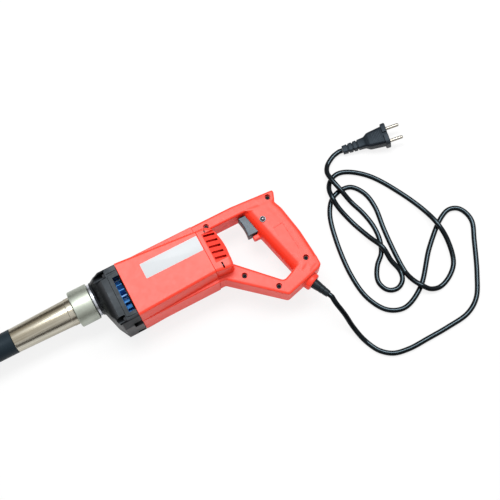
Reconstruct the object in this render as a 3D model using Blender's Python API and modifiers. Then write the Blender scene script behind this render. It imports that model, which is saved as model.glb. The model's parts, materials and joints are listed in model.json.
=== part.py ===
"""Hand-held electric concrete vibrator, lying on its side.

+X runs along the output spindle from the hose to the handle, +Y points to the trigger side of the tool,
+Z points up. The origin lies on the flat lower side of the motor barrel, under the spindle axis.
"""
import math

import bmesh
import bpy
from mathutils import Matrix, Vector

MM = 0.001

# Clearances
GAP = 0.3 * MM             # between pieces that touch
RUNNING_GAP = 0.5 * MM     # around pieces that turn or slide

# Motor barrel. Heights across the tool (Y) are measured from the spindle axis.
BARREL_LENGTH = 110 * MM
BARREL_DEPTH = 89 * MM
BARREL_FRONT_TOP = 19 * MM
BARREL_FRONT_LOW = -56 * MM
BARREL_REAR_TOP = 9.5 * MM
BARREL_REAR_LOW = -51.5 * MM
BARREL_LEAN = 3.5 * MM      # how far the side walls spread between the flat face and the keel
BARREL_EDGE = 4 * MM
BARREL_BORE_RADIUS = 36 * MM
KEEL_TOP = 24.2 * MM
KEEL_LOW = -60 * MM
KEEL_DEPTH = 42 * MM

# Gears between the motor and the spindle
GEAR_MODULE = 1 * MM
PINION_TEETH = 9
GEAR_TEETH = 30
GEAR_WIDTH = 7 * MM
TOOTH_PLAY = 0.35 * MM

# Gear case
CASE_LENGTH = 40.7 * MM
CASE_STRAIGHT = 23.5 * MM   # length of the part with the full section
CASE_BOSS_RADIUS = 23.5 * MM
CASE_INSET = 0.6 * MM       # how far the case stands back from the barrel's faces
CASE_CHAMBER_RADIUS = 34.2 * MM
CASE_LIP = 2.2 * MM         # front wall that the spigot's pilot passes through
WINDOW_LENGTH = 9.5 * MM
WINDOW_TOP = 3 * MM
WINDOW_LOW = -46.5 * MM
SIDE_WINDOW_LENGTH = 6 * MM
SIDE_WINDOW_NEAR = 14 * MM  # from the mid-plane
SIDE_WINDOW_FAR = 29 * MM
CASE_SCREW_TOP = 11.5 * MM
CASE_SCREW_LOW = -51 * MM
CASE_SCREW_OUT = 36.5 * MM  # from the mid-plane
CASE_SCREW_RADIUS = 2.1 * MM
CASE_SCREW_HEAD_RADIUS = 3.8 * MM
CASE_SCREW_HEAD = 3 * MM
CASE_SCREW_SEAT = 16 * MM   # from the joint with the barrel
CASE_SCREW_BITE = 12 * MM   # length in the barrel

# Bearings: bore radius, outside radius and width
SPINDLE_BEARING = (7.5 * MM, 16 * MM, 9 * MM)
MOTOR_BEARING = (4 * MM, 11 * MM, 7 * MM)
HEAD_BEARING = (5 * MM, 13 * MM, 8 * MM)
BUSH_RADIUS = 6 * MM
BUSH_BORE = 4 * MM

# Gear plate, fan and motor
PLATE_WIDTH = 8 * MM
FAN_RADIUS = 33 * MM
FAN_HUB_RADIUS = 9 * MM
FAN_DISC = 2 * MM
FAN_LENGTH = 9.3 * MM
FAN_BLADES = 24
FAN_BLADE_WIDTH = 1.6 * MM
FAN_EYE_RADIUS = 18 * MM
ARMATURE_RADIUS = 20 * MM
ARMATURE_START = 17 * MM    # from the barrel's front
WINDING_LENGTH = 9 * MM
WINDING_RADIUS = 17.5 * MM
SHAFT_RADIUS = 6 * MM
COMMUTATOR_RADIUS = 12 * MM
COMMUTATOR_LENGTH = 14 * MM
COMMUTATOR_SPACE = 4 * MM   # from the rear winding
STATOR_OVERHANG = 2 * MM    # past each end of the armature core
AIR_GAP = 0.6 * MM
COIL_RADIUS = 4.8 * MM
COIL_HALF_ANGLE = 48
COIL_OVERHANG = 11 * MM
BRACKET_WIDTH = 11 * MM
BRACKET_SPACE = 2 * MM      # from the commutator
BRACKET_INSET = 5 * MM      # from the barrel's rear
BRUSH_SIZE = (8 * MM, 5 * MM)     # along the shaft and across it
BRUSH_LENGTH = 14 * MM
HOLDER_WALL = 1.5 * MM
HOLDER_LENGTH = 19 * MM

# Spigot, coupling nut and hose ferrule
SPIGOT_FLANGE_RADIUS = 22 * MM
SPIGOT_FLANGE = 3.7 * MM
SPIGOT_NECK_RADIUS = 18 * MM
SPIGOT_NECK = 17 * MM
SPIGOT_BORE = 11 * MM
NUT_RADIUS = 24.7 * MM
NUT_LENGTH = 26.2 * MM
NUT_BACK = 4 * MM
FERRULE_LENGTH = 85 * MM
FERRULE_TAIL_RADIUS = 16.4 * MM
FERRULE_HEAD_RADIUS = 18.8 * MM
FERRULE_CRIMP = 8 * MM
FERRULE_STUB_RADIUS = 15 * MM
FERRULE_FLANGE = 3 * MM
SPINDLE_RADIUS = 7.5 * MM
DRIVE_SIZE = 7 * MM         # square tip of the drive core
DRIVE_BITE = 12 * MM        # how far the square tip goes into the spindle
DRIVE_END_RADIUS = 7.5 * MM

# Hose and drive core
HOSE_RADIUS = 16.5 * MM
HOSE_BORE = 9.5 * MM
CORE_RADIUS = 6.3 * MM
CORE_REACH = 40 * MM        # how far the core runs on into each ferrule
HOSE_COUNT = 20

# Poker head
HEAD_RADIUS = 17.5 * MM
HEAD_BORE = 13.3 * MM
HEAD_FERRULE_LENGTH = 60 * MM
HEAD_TUBE_LENGTH = 170 * MM
HEAD_TIP_LENGTH = 30 * MM
HEAD_TIP_PLUG = 14 * MM
HEAD_NOSE = 22 * MM
HEAD_NOSE_FLAT = 0.3
HEAD_NOSE_STEPS = 7
HEAD_SIDES = 64
HEAD_BEARING_SPACE = 12 * MM
ROTOR_SHAFT_RADIUS = 4.8 * MM
ROTOR_ROD_RADIUS = 8 * MM
ROTOR_END_RADIUS = 9.5 * MM

# Handle. Lengths along X are measured from the barrel's rear.
HANDLE_DEPTH = 38 * MM
HANDLE_EDGE = 2 * MM
ARM_STEP = 0.4 * MM          # how far the arms stand back from the grip's faces
ARM_RISE = 0.6 * MM          # how far the upper arm stands above the barrel's keel
GRIP_EDGE = 8 * MM
SHELL_WALL = 3 * MM
GRIP_WALL = 5 * MM
CAP_WALL = 4 * MM
HANDLE_SCREW_RADIUS = 1.9 * MM
HANDLE_SCREW_HEAD_RADIUS = 3.4 * MM
HANDLE_SCREW_HEAD = 2.6 * MM
HANDLE_SCREW_SUNK = 3.5 * MM
HANDLE_SCREW_BITE = 12 * MM
POST_RADIUS = 5 * MM
VENT_COUNT = 5
VENT_PITCH = 8.25 * MM
VENT_LENGTH = 15.5 * MM
VENT_WIDTH = 3 * MM
VENT_SLANT = 5              # degrees
VENT_START = (6.3 * MM, -2.1 * MM)
VENT_DEPTH = 18 * MM
PANEL_START = 5 * MM        # the sunk panel that holds the vents
PANEL_TOP = 1 * MM
PANEL_LOW = -41 * MM
PANEL_FALL = 22.5           # degrees
PANEL_REACH = 40 * MM
PANEL_DEPTH = 20 * MM
CAP_CAVITY_END = 20 * MM
CAP_CAVITY_FALL = 11 * MM
LUG_START = 67.6 * MM       # the lug under the trigger
LUG_END = 81 * MM
LUG_TOP = -20.8 * MM
LUG_LOW = -27.4 * MM
LUG_WIDTH = 10 * MM

# Trigger, lock button and switch
TRIGGER_WIDTH = 18 * MM
TRIGGER_TOP = 8.2 * MM
TRIGGER_LOW = -19.8 * MM
TRIGGER_FRONT = 61 * MM
TRIGGER_BACK = 82 * MM
TRIGGER_HOLLOW = 1.6 * MM
TRIGGER_TRAVEL = 7 * MM
STEM_SIZE = 6 * MM
STEM_LENGTH = 10 * MM
SWITCH_LENGTH = 19 * MM
SWITCH_TOP = 3 * MM
SWITCH_LOW = -26 * MM
SWITCH_DEPTH = 20 * MM
LOCK_PLACE = (88.5 * MM, -10.3 * MM)
LOCK_RADIUS = 2.8 * MM
LOCK_PROUD = 3.6 * MM
LOCK_TRAVEL = 2.6 * MM
LOCK_FLANGE_RADIUS = 4.6 * MM
LOCK_FLANGE = 1.4 * MM
LOCK_RING_RADIUS = 4.3 * MM
LOCK_RING = 1 * MM

# Cable boss, boot and lead
BOSS_PLACE = (109.2 * MM, -113.8 * MM)
BOSS_TURN = -65.8           # degrees from +X, the way the cord leaves
BOSS_RADIUS = 12 * MM
BOSS_REACH = 14 * MM
BOOT_LENGTH = 24 * MM
BOOT_RADIUS = 6.8 * MM
BOOT_TIP_RADIUS = 4.8 * MM
BOOT_ROOT = 9 * MM
BOOT_COLLAR_RADIUS = 8.6 * MM
BOOT_COLLAR = 3 * MM
CORD_RADIUS = 3.5 * MM
CORD_COUNT = 80
CORD_BEND = 35 * MM         # length that one radian of bend counts for when the points are spread
CORD_LEAD = 5 * MM          # straight length at each end
CLAMP_SIZE = (11 * MM, 8 * MM, 5 * MM)
CLAMP_PLACE = (102.3 * MM, -78.5 * MM)

# Plug
PLUG_PLACE = (300.2 * MM, 42.4 * MM, 6.4 * MM)
PLUG_TURN = -11.5           # degrees from +X
PLUG_RISE = 10.6            # degrees above the floor
PLUG_LENGTH = 66 * MM
PLUG_BOOT = 26 * MM
PLUG_BOOT_RADIUS = 5.6 * MM
PLUG_NECK_RADIUS = 7.2 * MM
PLUG_BODY_RADIUS = 14.4 * MM
PLUG_FLANGE_RADIUS = 17.3 * MM
PLUG_FLANGE = 5 * MM
PLUG_RIBS = 3
PIN_RADIUS = 2.4 * MM
PIN_LENGTH = 19 * MM
PIN_SPACING = 19 * MM
PIN_ROOT = 8 * MM

# Faces around a full turn
FINE = 32
MEDIUM = 24
COARSE = 16

# Places that follow from the sizes above
AXIS_Z = BARREL_DEPTH / 2
COIL_PITCH_RADIUS = (ARMATURE_RADIUS + BARREL_BORE_RADIUS) / 2
MOTOR_Y = -GEAR_MODULE * (PINION_TEETH + GEAR_TEETH) / 2
FRONT_X = -BARREL_LENGTH / 2
REAR_X = BARREL_LENGTH / 2
CASE_BACK_X = FRONT_X - GAP
CASE_FRONT_X = CASE_BACK_X - CASE_LENGTH
SPINDLE_BEARING_X = CASE_FRONT_X + CASE_LIP + GAP
GEAR_X = SPINDLE_BEARING_X + SPINDLE_BEARING[2] + 2 * RUNNING_GAP
PLATE_X = GEAR_X + GEAR_WIDTH + 2 * RUNNING_GAP
FAN_X = PLATE_X + PLATE_WIDTH + 2 * RUNNING_GAP
CORE_X = FRONT_X + ARMATURE_START
BRACKET_X = REAR_X - BRACKET_INSET - BRACKET_WIDTH
COMMUTATOR_X = BRACKET_X - BRACKET_SPACE - COMMUTATOR_LENGTH
CORE_END_X = COMMUTATOR_X - COMMUTATOR_SPACE - WINDING_LENGTH
SPIGOT_FRONT_X = CASE_FRONT_X - GAP - SPIGOT_FLANGE - SPIGOT_NECK
NUT_FRONT_X = CASE_FRONT_X - 2 * GAP - SPIGOT_FLANGE
NUT_BACK_X = NUT_FRONT_X - NUT_LENGTH
FERRULE_BACK_X = NUT_BACK_X - GAP - FERRULE_LENGTH
HOSE_START_X = FERRULE_BACK_X - GAP
CAP_X = REAR_X + GAP
HANDLE_TOP_Z = AXIS_Z + HANDLE_DEPTH / 2
TRIGGER_FRONT_X = REAR_X + TRIGGER_FRONT
TRIGGER_BACK_X = REAR_X + TRIGGER_BACK
SWITCH_X = TRIGGER_BACK_X + TRIGGER_TRAVEL + RUNNING_GAP
LOCK_X = REAR_X + LOCK_PLACE[0]
CLAMP_X = REAR_X + CLAMP_PLACE[0]
FLOOR_GAP = GAP

# The hose: X, Y in mm and the height of its centre above where it lies on the floor. It leaves the ferrule
# straight, comes down to the floor and turns back beside itself.
HOSE_ROUTE = [
    (-40, 0, None), (-95, 1, 22), (-150, 3, 11), (-205, 4, 3), (-260, 5, 0), (-315, 8, 0),
    (-372, 22, 0), (-422, 52, 0), (-457, 98, 0), (-470, 156, 0), (-459, 214, 0), (-424, 264, 0),
    (-374, 296, 0), (-315, 311, 0.5), (-255, 314, 1), (-215, 314, 1),
]

# The mains cord: X, Y and the height of its centre above where it lies on the floor, in mm. It passes over
# itself at one cord's thickness.
CORD_ROUTE = [
    (177, -148, 37.5), (182.5, -166, 24), (187, -185, 8.5), (193, -206, 0.6), (203, -226.5, 0),
    (218, -238.8, 0), (240, -243.5, 0), (268, -243.4, 0), (300, -242.6, 0), (333, -239, 0),
    (354, -226.8, 0), (373, -198.6, 0), (395, -156, 0), (406.4, -132, 0), (405.6, -117.5, 0),
    (399, -106.4, 0), (387, -102, 0), (371, -107.6, 0), (335.3, -136.4, 0), (295.4, -178.8, 0),
    (263, -192.9, 0),
    (241, -184.8, 0), (225.5, -159, 0), (221.2, -122.3, 0), (227.8, -67.2, 0), (239, -30, 0),
    (252.2, -13.3, 0), (268, -7.6, 0), (284, -10.2, 0), (296, -27, 0), (299, -50, 0),
    (293.5, -85, 0), (289.5, -122, 0), (288.5, -150, 0), (291, -167, 6), (297, -178.8, 8),
    (306, -187.5, 3.5), (320, -190.5, 0), (338, -184, 0), (353.5, -169.5, 0), (361.5, -140, 3.5),
    (360.3, -114.8, 8), (355.5, -88, 3.5), (339, -47, 0), (314.3, -7.4, 0), (290, 12.2, 0),
    (275.5, 15.8, 0), (263.2, 11.2, 0), (254.2, 0, 5), (251.6, -13.5, 8), (252.6, -28, 4.5),
    (260, -56, 0), (269.5, -86, 3.5), (277, -108, 8.2), (278.8, -128, 3.5), (283.1, -146.1, 0),
    (279.5, -158.4, 0), (270.5, -164.8, 0), (260.9, -164.6, 0), (253.3, -159.1, 0), (249.4, -147.8, 0),
    (251.2, -138.7, 0), (259.8, -125, 0), (273, -112.5, 0), (280.5, -96, 0),
    (283, -76, 0), (280, -52, 0), (272.5, -29.5, 2.5), (267, -7.5, 8), (263.6, 11, 8),
    (264, 23, 5), (270.5, 33, 1.8), (284, 41, 1.8),
]

# Handle outlines on the mid-plane, counter-clockwise: x from the barrel's rear, y from the spindle axis, corner
# radius. They start inside the barrel's end and are cut off there.
TOP_ARM_OUTLINE = [
    (-9.7 * MM, 9.8 * MM, 0), (70 * MM, 9.8 * MM, 0), (85 * MM, 1.6 * MM, 0), (105 * MM, 1.6 * MM, 0),
    (114.3 * MM, 4.6 * MM, 3 * MM), (119.5 * MM, 17.4 * MM, 2.6 * MM), (118.8 * MM, 20.5 * MM, 2.6 * MM),
    (59 * MM, KEEL_TOP + ARM_RISE, 40 * MM), (-9.7 * MM, KEEL_TOP + ARM_RISE, 0),
]
LOWER_ARM_OUTLINE = [
    (-7.7 * MM, KEEL_LOW, 0), (7.3 * MM, -59.7 * MM, 3 * MM), (71 * MM, -115.9 * MM, 5 * MM),
    (96.2 * MM, -109.4 * MM, 0), (120.7 * MM, -102.6 * MM, 3 * MM), (126.8 * MM, -98.8 * MM, 3 * MM),
    (127 * MM, -84.6 * MM, 0), (98 * MM, -82.6 * MM, 0), (88 * MM, -88.8 * MM, 9 * MM),
    (73.5 * MM, -94.6 * MM, 7 * MM), (11 * MM, -28.9 * MM, 0), (-7.7 * MM, -28.9 * MM, 0),
]
GRIP_OUTLINE = [
    (72 * MM, 14.6 * MM, 0), (70.6 * MM, 4.6 * MM, 0), (77 * MM, -26.6 * MM, 0),
    (84 * MM, -56.4 * MM, 60 * MM), (91.4 * MM, -87 * MM, 0), (93 * MM, -96.8 * MM, 0),
    (126.5 * MM, -96.8 * MM, 0), (127.2 * MM, -79.4 * MM, 60 * MM), (125 * MM, -45.4 * MM, 80 * MM),
    (118.6 * MM, -6 * MM, 30 * MM), (114.5 * MM, 4.6 * MM, 0), (113 * MM, 14.6 * MM, 0),
]
CAP_OUTLINE = [
    (-11.7 * MM, BARREL_REAR_LOW, 0), (-4 * MM, BARREL_REAR_LOW, 0), (23.9 * MM, -55.7 * MM, 6 * MM),
    (27.5 * MM, -21 * MM, 70 * MM), (20.5 * MM, BARREL_REAR_TOP, 17 * MM), (-11.7 * MM, BARREL_REAR_TOP, 0),
]

HANDLE_SCREWS = {
    "handle_screw_front": (18.1 * MM, 15.2 * MM),
    "handle_screw_top": (108.6 * MM, 13.8 * MM),
    "handle_screw_arm": (32 * MM, -66.4 * MM),
    "handle_screw_low": (64.7 * MM, -99.3 * MM),
    "handle_screw_grip": (113.5 * MM, -82.3 * MM),
}

# Material name: colour, roughness, metallic
FINISHES = {
    "red_plastic": ((0.80, 0.10, 0.06), 0.42, 0.0),
    "black_casting": ((0.03, 0.032, 0.036), 0.5, 0.3),
    "blue_plastic": ((0.02, 0.12, 0.42), 0.4, 0.0),
    "aluminium": ((0.75, 0.76, 0.78), 0.3, 1.0),
    "plated_steel": ((0.62, 0.61, 0.55), 0.25, 1.0),
    "dark_steel": ((0.20, 0.20, 0.21), 0.4, 1.0),
    "copper": ((0.72, 0.32, 0.16), 0.35, 1.0),
    "brass": ((0.75, 0.58, 0.25), 0.3, 1.0),
    "carbon": ((0.04, 0.04, 0.04), 0.8, 0.0),
    "rubber": ((0.025, 0.027, 0.03), 0.6, 0.0),
    "black_plastic": ((0.04, 0.042, 0.045), 0.5, 0.0),
    "grey_plastic": ((0.20, 0.22, 0.24), 0.45, 0.0),
    "chrome": ((0.85, 0.86, 0.87), 0.12, 1.0),
}

PARTS = bpy.data.collections.new("concrete_vibrator")
CUTTERS = bpy.data.collections.new("cutters")


def clear_scene():
    for old in list(bpy.data.objects):
        bpy.data.objects.remove(old, do_unlink=True)
    bpy.context.scene.collection.children.link(PARTS)
    bpy.context.scene.collection.children.link(CUTTERS)


def finish(name):
    found = bpy.data.materials.get(name)
    if found:
        return found
    colour, roughness, metallic = FINISHES[name]
    made = bpy.data.materials.new(name)
    made.use_nodes = True
    shader = made.node_tree.nodes["Principled BSDF"]
    shader.inputs["Base Color"].default_value = (*colour, 1.0)
    shader.inputs["Roughness"].default_value = roughness
    shader.inputs["Metallic"].default_value = metallic
    made.diffuse_color = (*colour, 1.0)
    return made


def add_object(name, data, look=None):
    """A finished piece when it has a look, else a cutter that is left out of the model."""
    made = bpy.data.objects.new(name, data)
    if look:
        PARTS.objects.link(made)
        data.materials.append(finish(look))
    else:
        CUTTERS.objects.link(made)
        made.hide_render = True
        made.display_type = "WIRE"
    return made


def add_mesh(name, form, look=None):
    mesh = bpy.data.meshes.new(name)
    form.to_mesh(mesh)
    form.free()
    return add_object(name, mesh, look)


def smooth(piece, angle=35):
    piece.data.shade_smooth()
    piece.data.set_sharp_from_angle(angle=math.radians(angle))


def settle(piece):
    """Replace a piece's data by its evaluated mesh, with doubled points merged."""
    graph = bpy.context.evaluated_depsgraph_get()
    mesh = bpy.data.meshes.new_from_object(piece.evaluated_get(graph))
    form = bmesh.new()
    form.from_mesh(mesh)
    bmesh.ops.remove_doubles(form, verts=form.verts, dist=0.002 * MM)
    form.to_mesh(mesh)
    form.free()
    name = piece.name
    looks = [slot.material for slot in piece.material_slots]
    home = piece.users_collection[0]
    place = piece.matrix_world.copy()
    bpy.data.objects.remove(piece, do_unlink=True)
    made = bpy.data.objects.new(name, mesh)
    made.matrix_world = place
    home.objects.link(made)
    mesh.materials.clear()
    for look in looks:
        mesh.materials.append(look)
    if home == CUTTERS:
        made.hide_render = True
        made.display_type = "WIRE"
    bpy.context.view_layer.update()
    return made


def combine(piece, other, operation):
    change = piece.modifiers.new(other.name, "BOOLEAN")
    change.operation = operation
    change.solver = "EXACT"
    change.object = other


def cut(piece, *others):
    for other in others:
        combine(piece, other, "DIFFERENCE")


def join(piece, *others):
    for other in others:
        combine(piece, other, "UNION")


def along_x(x=0.0, y=0.0, z=AXIS_Z):
    """Turns a local Z axis to +X, at a point of the tool."""
    return Matrix.Translation((x, y, z)) @ Matrix.Rotation(math.radians(90), 4, "Y")


def turned(name, outline, place, look=None, sides=MEDIUM, ring=False):
    """A turned piece. The outline holds (along the axis, radius) and runs down the outer side from the far
    end; it starts and ends on the axis unless it is a ring, whose outline closes through the bore."""
    form = bmesh.new()
    points = [form.verts.new((radius, 0, along)) for along, radius in outline]
    for first, second in zip(points, points[1:]):
        form.edges.new((first, second))
    if ring:
        form.edges.new((points[-1], points[0]))
    piece = add_mesh(name, form, look)
    spin = piece.modifiers.new("spin", "SCREW")
    spin.axis = "Z"
    spin.angle = math.tau
    spin.steps = sides
    spin.render_steps = sides
    spin.use_merge_vertices = True
    spin.merge_threshold = 0.001 * MM
    spin.use_normal_calculate = False
    piece.matrix_world = place
    bpy.context.view_layer.update()
    piece = settle(piece)
    smooth(piece)
    return piece


def rod(name, start, end, radius, place, look=None, sides=COARSE):
    return turned(name, [(end, 0), (end, radius), (start, radius), (start, 0)], place, look, sides)


def sleeve(name, start, end, radius, bore, place, look=None, sides=MEDIUM):
    outline = [(end, radius), (start, radius), (start, bore), (end, bore)]
    return turned(name, outline, place, look, sides, ring=True)


def block(name, low, high, look=None, place=None):
    form = bmesh.new()
    bmesh.ops.create_cube(form, size=1.0)
    low, high = Vector(low), Vector(high)
    bmesh.ops.scale(form, vec=high - low, verts=form.verts)
    bmesh.ops.translate(form, vec=(low + high) / 2, verts=form.verts)
    piece = add_mesh(name, form, look)
    if place:
        piece.matrix_world = place
    bpy.context.view_layer.update()
    return piece


def rounded(corners, steps=4):
    """Points of an outline whose corners (x, y, radius) are rounded by arcs."""
    points = []
    count = len(corners)
    for i, (x, y, radius) in enumerate(corners):
        here = Vector((x, y))
        if radius == 0:
            points.append(here)
            continue
        back = (Vector(corners[i - 1][:2]) - here).normalized()
        ahead = (Vector(corners[(i + 1) % count][:2]) - here).normalized()
        half = back.angle(ahead) / 2
        middle = (back + ahead).normalized()
        centre = here + middle * (radius / math.sin(half))
        run = radius / math.tan(half)
        first = here + back * run - centre
        sweep = first.angle_signed(here + ahead * run - centre)
        for k in range(steps + 1):
            points.append(centre + Matrix.Rotation(-sweep * k / steps, 2) @ first)
    return points


def inset(corners, distance):
    """The same outline, counter-clockwise, drawn in by a distance, with sharp corners."""
    lines = []
    for i, (x, y, _) in enumerate(corners):
        start = Vector((x, y))
        end = Vector(corners[(i + 1) % len(corners)][:2])
        way = (end - start).normalized()
        inward = Vector((-way.y, way.x))
        lines.append((start + inward * distance, way))
    points = []
    for i, (start, way) in enumerate(lines):
        before, way_before = lines[i - 1]
        cross = way_before.cross(way)
        shift = (start - before).cross(way) / cross
        corner = before + way_before * shift
        points.append((corner.x, corner.y, 0))
    return points


def plate(name, loops, low, high, look=None, edge=0.0):
    """A flat outline given thickness along Z between two heights, its rims rounded by the edge radius."""
    curve = bpy.data.curves.new(name, "CURVE")
    curve.dimensions = "2D"
    curve.fill_mode = "BOTH"
    curve.extrude = (high - low) / 2 - edge
    curve.bevel_depth = edge
    curve.bevel_resolution = 1
    curve.offset = -edge
    for loop in loops:
        spline = curve.splines.new("POLY")
        spline.points.add(len(loop) - 1)
        for point, (x, y) in zip(spline.points, loop):
            point.co = (x, y, 0, 1)
        spline.use_cyclic_u = True
    piece = add_object(name, curve, look)
    piece.location.z = (low + high) / 2
    bpy.context.view_layer.update()
    return settle(piece)


def loft(name, rings, look=None):
    """A closed body through rings of as many points each."""
    form = bmesh.new()
    rows = [[form.verts.new(point) for point in ring] for ring in rings]
    for row, following in zip(rows, rows[1:]):
        for i in range(len(row)):
            j = (i + 1) % len(row)
            form.faces.new((row[i], row[j], following[j], following[i]))
    form.faces.new(list(reversed(rows[0])))
    form.faces.new(rows[-1])
    bmesh.ops.recalc_face_normals(form, faces=form.faces)
    return add_mesh(name, form, look)


def smooth_route(points, count, bend=0.0):
    """Points on a smooth curve through the given ones, spread evenly, and closer in bends of a given length."""
    ends = [points[0] * 2 - points[1], *points, points[-1] * 2 - points[-2]]
    fine = []
    for p0, p1, p2, p3 in zip(ends, ends[1:], ends[2:], ends[3:]):
        t1 = (p1 - p0).length ** 0.5
        t2 = t1 + (p2 - p1).length ** 0.5
        t3 = t2 + (p3 - p2).length ** 0.5
        for k in range(24):
            t = t1 + (t2 - t1) * k / 24
            a1 = p0.lerp(p1, t / t1)
            a2 = p1.lerp(p2, (t - t1) / (t2 - t1))
            a3 = p2.lerp(p3, (t - t2) / (t3 - t2))
            b1 = a1.lerp(a2, t / t2)
            b2 = a2.lerp(a3, (t - t1) / (t3 - t1))
            fine.append(b1.lerp(b2, (t - t1) / (t2 - t1)))
    fine.append(points[-1])
    runs = [(b - a).length for a, b in zip(fine, fine[1:])]
    ways = [(b - a).normalized() for a, b in zip(fine, fine[1:])]
    weights = [run + bend * way.angle(ahead) for run, way, ahead in zip(runs, ways, [*ways[1:], ways[-1]])]
    share = sum(weights) / count
    even = [fine[0]]
    walked = 0.0
    for a, b, weight in zip(fine, fine[1:], weights):
        while len(even) < count and walked + weight >= share * len(even):
            even.append(a.lerp(b, (share * len(even) - walked) / weight))
        walked += weight
    even.append(fine[-1])
    return even, sum(runs)


def least_gap(points, radius):
    """The smallest gap of a tube to itself, away from its own bends."""
    reach = 6 * radius
    along = [0.0]
    for a, b in zip(points, points[1:]):
        along.append(along[-1] + (b - a).length)
    gaps = [
        (points[i] - points[j]).length - 2 * radius
        for i in range(len(points))
        for j in range(i)
        if along[i] - along[j] > reach
    ]
    return min(gaps)


def tube(name, points, radius, look=None, closed=False, roundness=2):
    curve = bpy.data.curves.new(name, "CURVE")
    curve.dimensions = "3D"
    curve.bevel_depth = radius
    curve.bevel_resolution = roundness
    curve.use_fill_caps = True
    spline = curve.splines.new("POLY")
    spline.points.add(len(points) - 1)
    for point, place in zip(spline.points, points):
        point.co = (*place, 1)
    spline.use_cyclic_u = closed
    piece = settle(add_object(name, curve, look))
    smooth(piece, 60)
    return piece


def toothed(name, teeth, start, end, place, tooth_angle, bore=0.0, look=None):
    """A spur gear with straight flanks, a tooth centred on the given local angle."""
    pitch_radius = GEAR_MODULE * teeth / 2
    half_pitch = math.pi * GEAR_MODULE / 2 - TOOTH_PLAY
    half_angle = half_pitch / pitch_radius / 2
    outline = []
    for k in range(teeth):
        middle = math.radians(tooth_angle) + math.tau * k / teeth
        for radius, share in ((-1.25, -1.55), (1.0, -0.42), (1.0, 0.42), (-1.25, 1.55)):
            reach = pitch_radius + radius * GEAR_MODULE
            angle = middle + share * half_angle
            outline.append((reach * math.cos(angle), reach * math.sin(angle)))
    loops = [outline]
    if bore:
        loops.append([(bore * math.cos(math.tau * k / COARSE), bore * math.sin(math.tau * k / COARSE))
                      for k in range(COARSE)])
    piece = plate(name, loops, start, end, look)
    piece.matrix_world = place @ piece.matrix_world
    bpy.context.view_layer.update()
    return piece


def barrel_section(x, top, low, keel_top, keel_low, depth, lean):
    """Section of the barrel across the spindle, with the keel on both sides."""
    half = depth / 2
    keel = KEEL_DEPTH / 2
    corners = [
        (top, half, BARREL_EDGE), (top + lean, keel, 0), (keel_top, keel, 0),
        (keel_top, -keel, 0), (top + lean, -keel, 0), (top, -half, BARREL_EDGE),
        (low, -half, BARREL_EDGE), (low - lean, -keel, 0), (keel_low, -keel, 0),
        (keel_low, keel, 0), (low - lean, keel, 0), (low, half, BARREL_EDGE),
    ]
    return [Vector((x, p.x, AXIS_Z + p.y)) for p in rounded(corners)]


def motor_housing():
    rings = [
        barrel_section(FRONT_X, BARREL_FRONT_TOP, BARREL_FRONT_LOW, KEEL_TOP, KEEL_LOW, BARREL_DEPTH,
                       BARREL_LEAN),
        barrel_section(REAR_X, BARREL_REAR_TOP, BARREL_REAR_LOW, KEEL_TOP, KEEL_LOW, BARREL_DEPTH, BARREL_LEAN),
    ]
    housing = loft("motor_housing", rings, "red_plastic")
    bore = rod("barrel_bore", FRONT_X - 5 * MM, REAR_X + 5 * MM, BARREL_BORE_RADIUS, along_x(0, MOTOR_Y),
               sides=FINE)
    cut(housing, bore)
    for name, (y, z) in case_screw_places().items():
        hole = rod(name + "_pilot", FRONT_X - 2 * MM, FRONT_X + CASE_SCREW_BITE + 2 * MM,
                   CASE_SCREW_RADIUS + GAP, along_x(0, y, z), sides=12)
        cut(housing, hole)
    housing = settle(housing)
    smooth(housing)


def case_screw_places():
    places = {}
    for side, out in (("upper", CASE_SCREW_OUT), ("lower", -CASE_SCREW_OUT)):
        places["case_screw_top_" + side] = (CASE_SCREW_TOP, AXIS_Z + out)
        places["case_screw_low_" + side] = (CASE_SCREW_LOW, AXIS_Z + out)
    return places


def case_ring(x, share):
    """A ring of the gear case: share 0 is the round boss, 1 the full section that meets the barrel."""
    top = BARREL_FRONT_TOP - CASE_INSET
    low = BARREL_FRONT_LOW + CASE_INSET
    half = BARREL_DEPTH / 2 - CASE_INSET
    keel = KEEL_DEPTH / 2 + 3 * MM
    keel_top = KEEL_TOP - CASE_INSET
    keel_low = KEEL_LOW - CASE_INSET
    corners = [
        (top, half, BARREL_EDGE), (keel_top, keel, BARREL_EDGE), (keel_top, -keel, BARREL_EDGE),
        (top, -half, BARREL_EDGE), (low, -half, BARREL_EDGE), (keel_low, -keel, BARREL_EDGE),
        (keel_low, keel, BARREL_EDGE), (low, half, BARREL_EDGE),
    ]
    middle = Vector(((top + low) / 2, 0))
    points = []
    for full in rounded(corners, 2):
        angle = math.atan2(full.y - middle.y, full.x - middle.x)
        round_point = Vector((math.cos(angle), math.sin(angle))) * CASE_BOSS_RADIUS
        point = round_point.lerp(full, share)
        points.append(Vector((x, point.x, AXIS_Z + point.y)))
    return points


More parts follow.
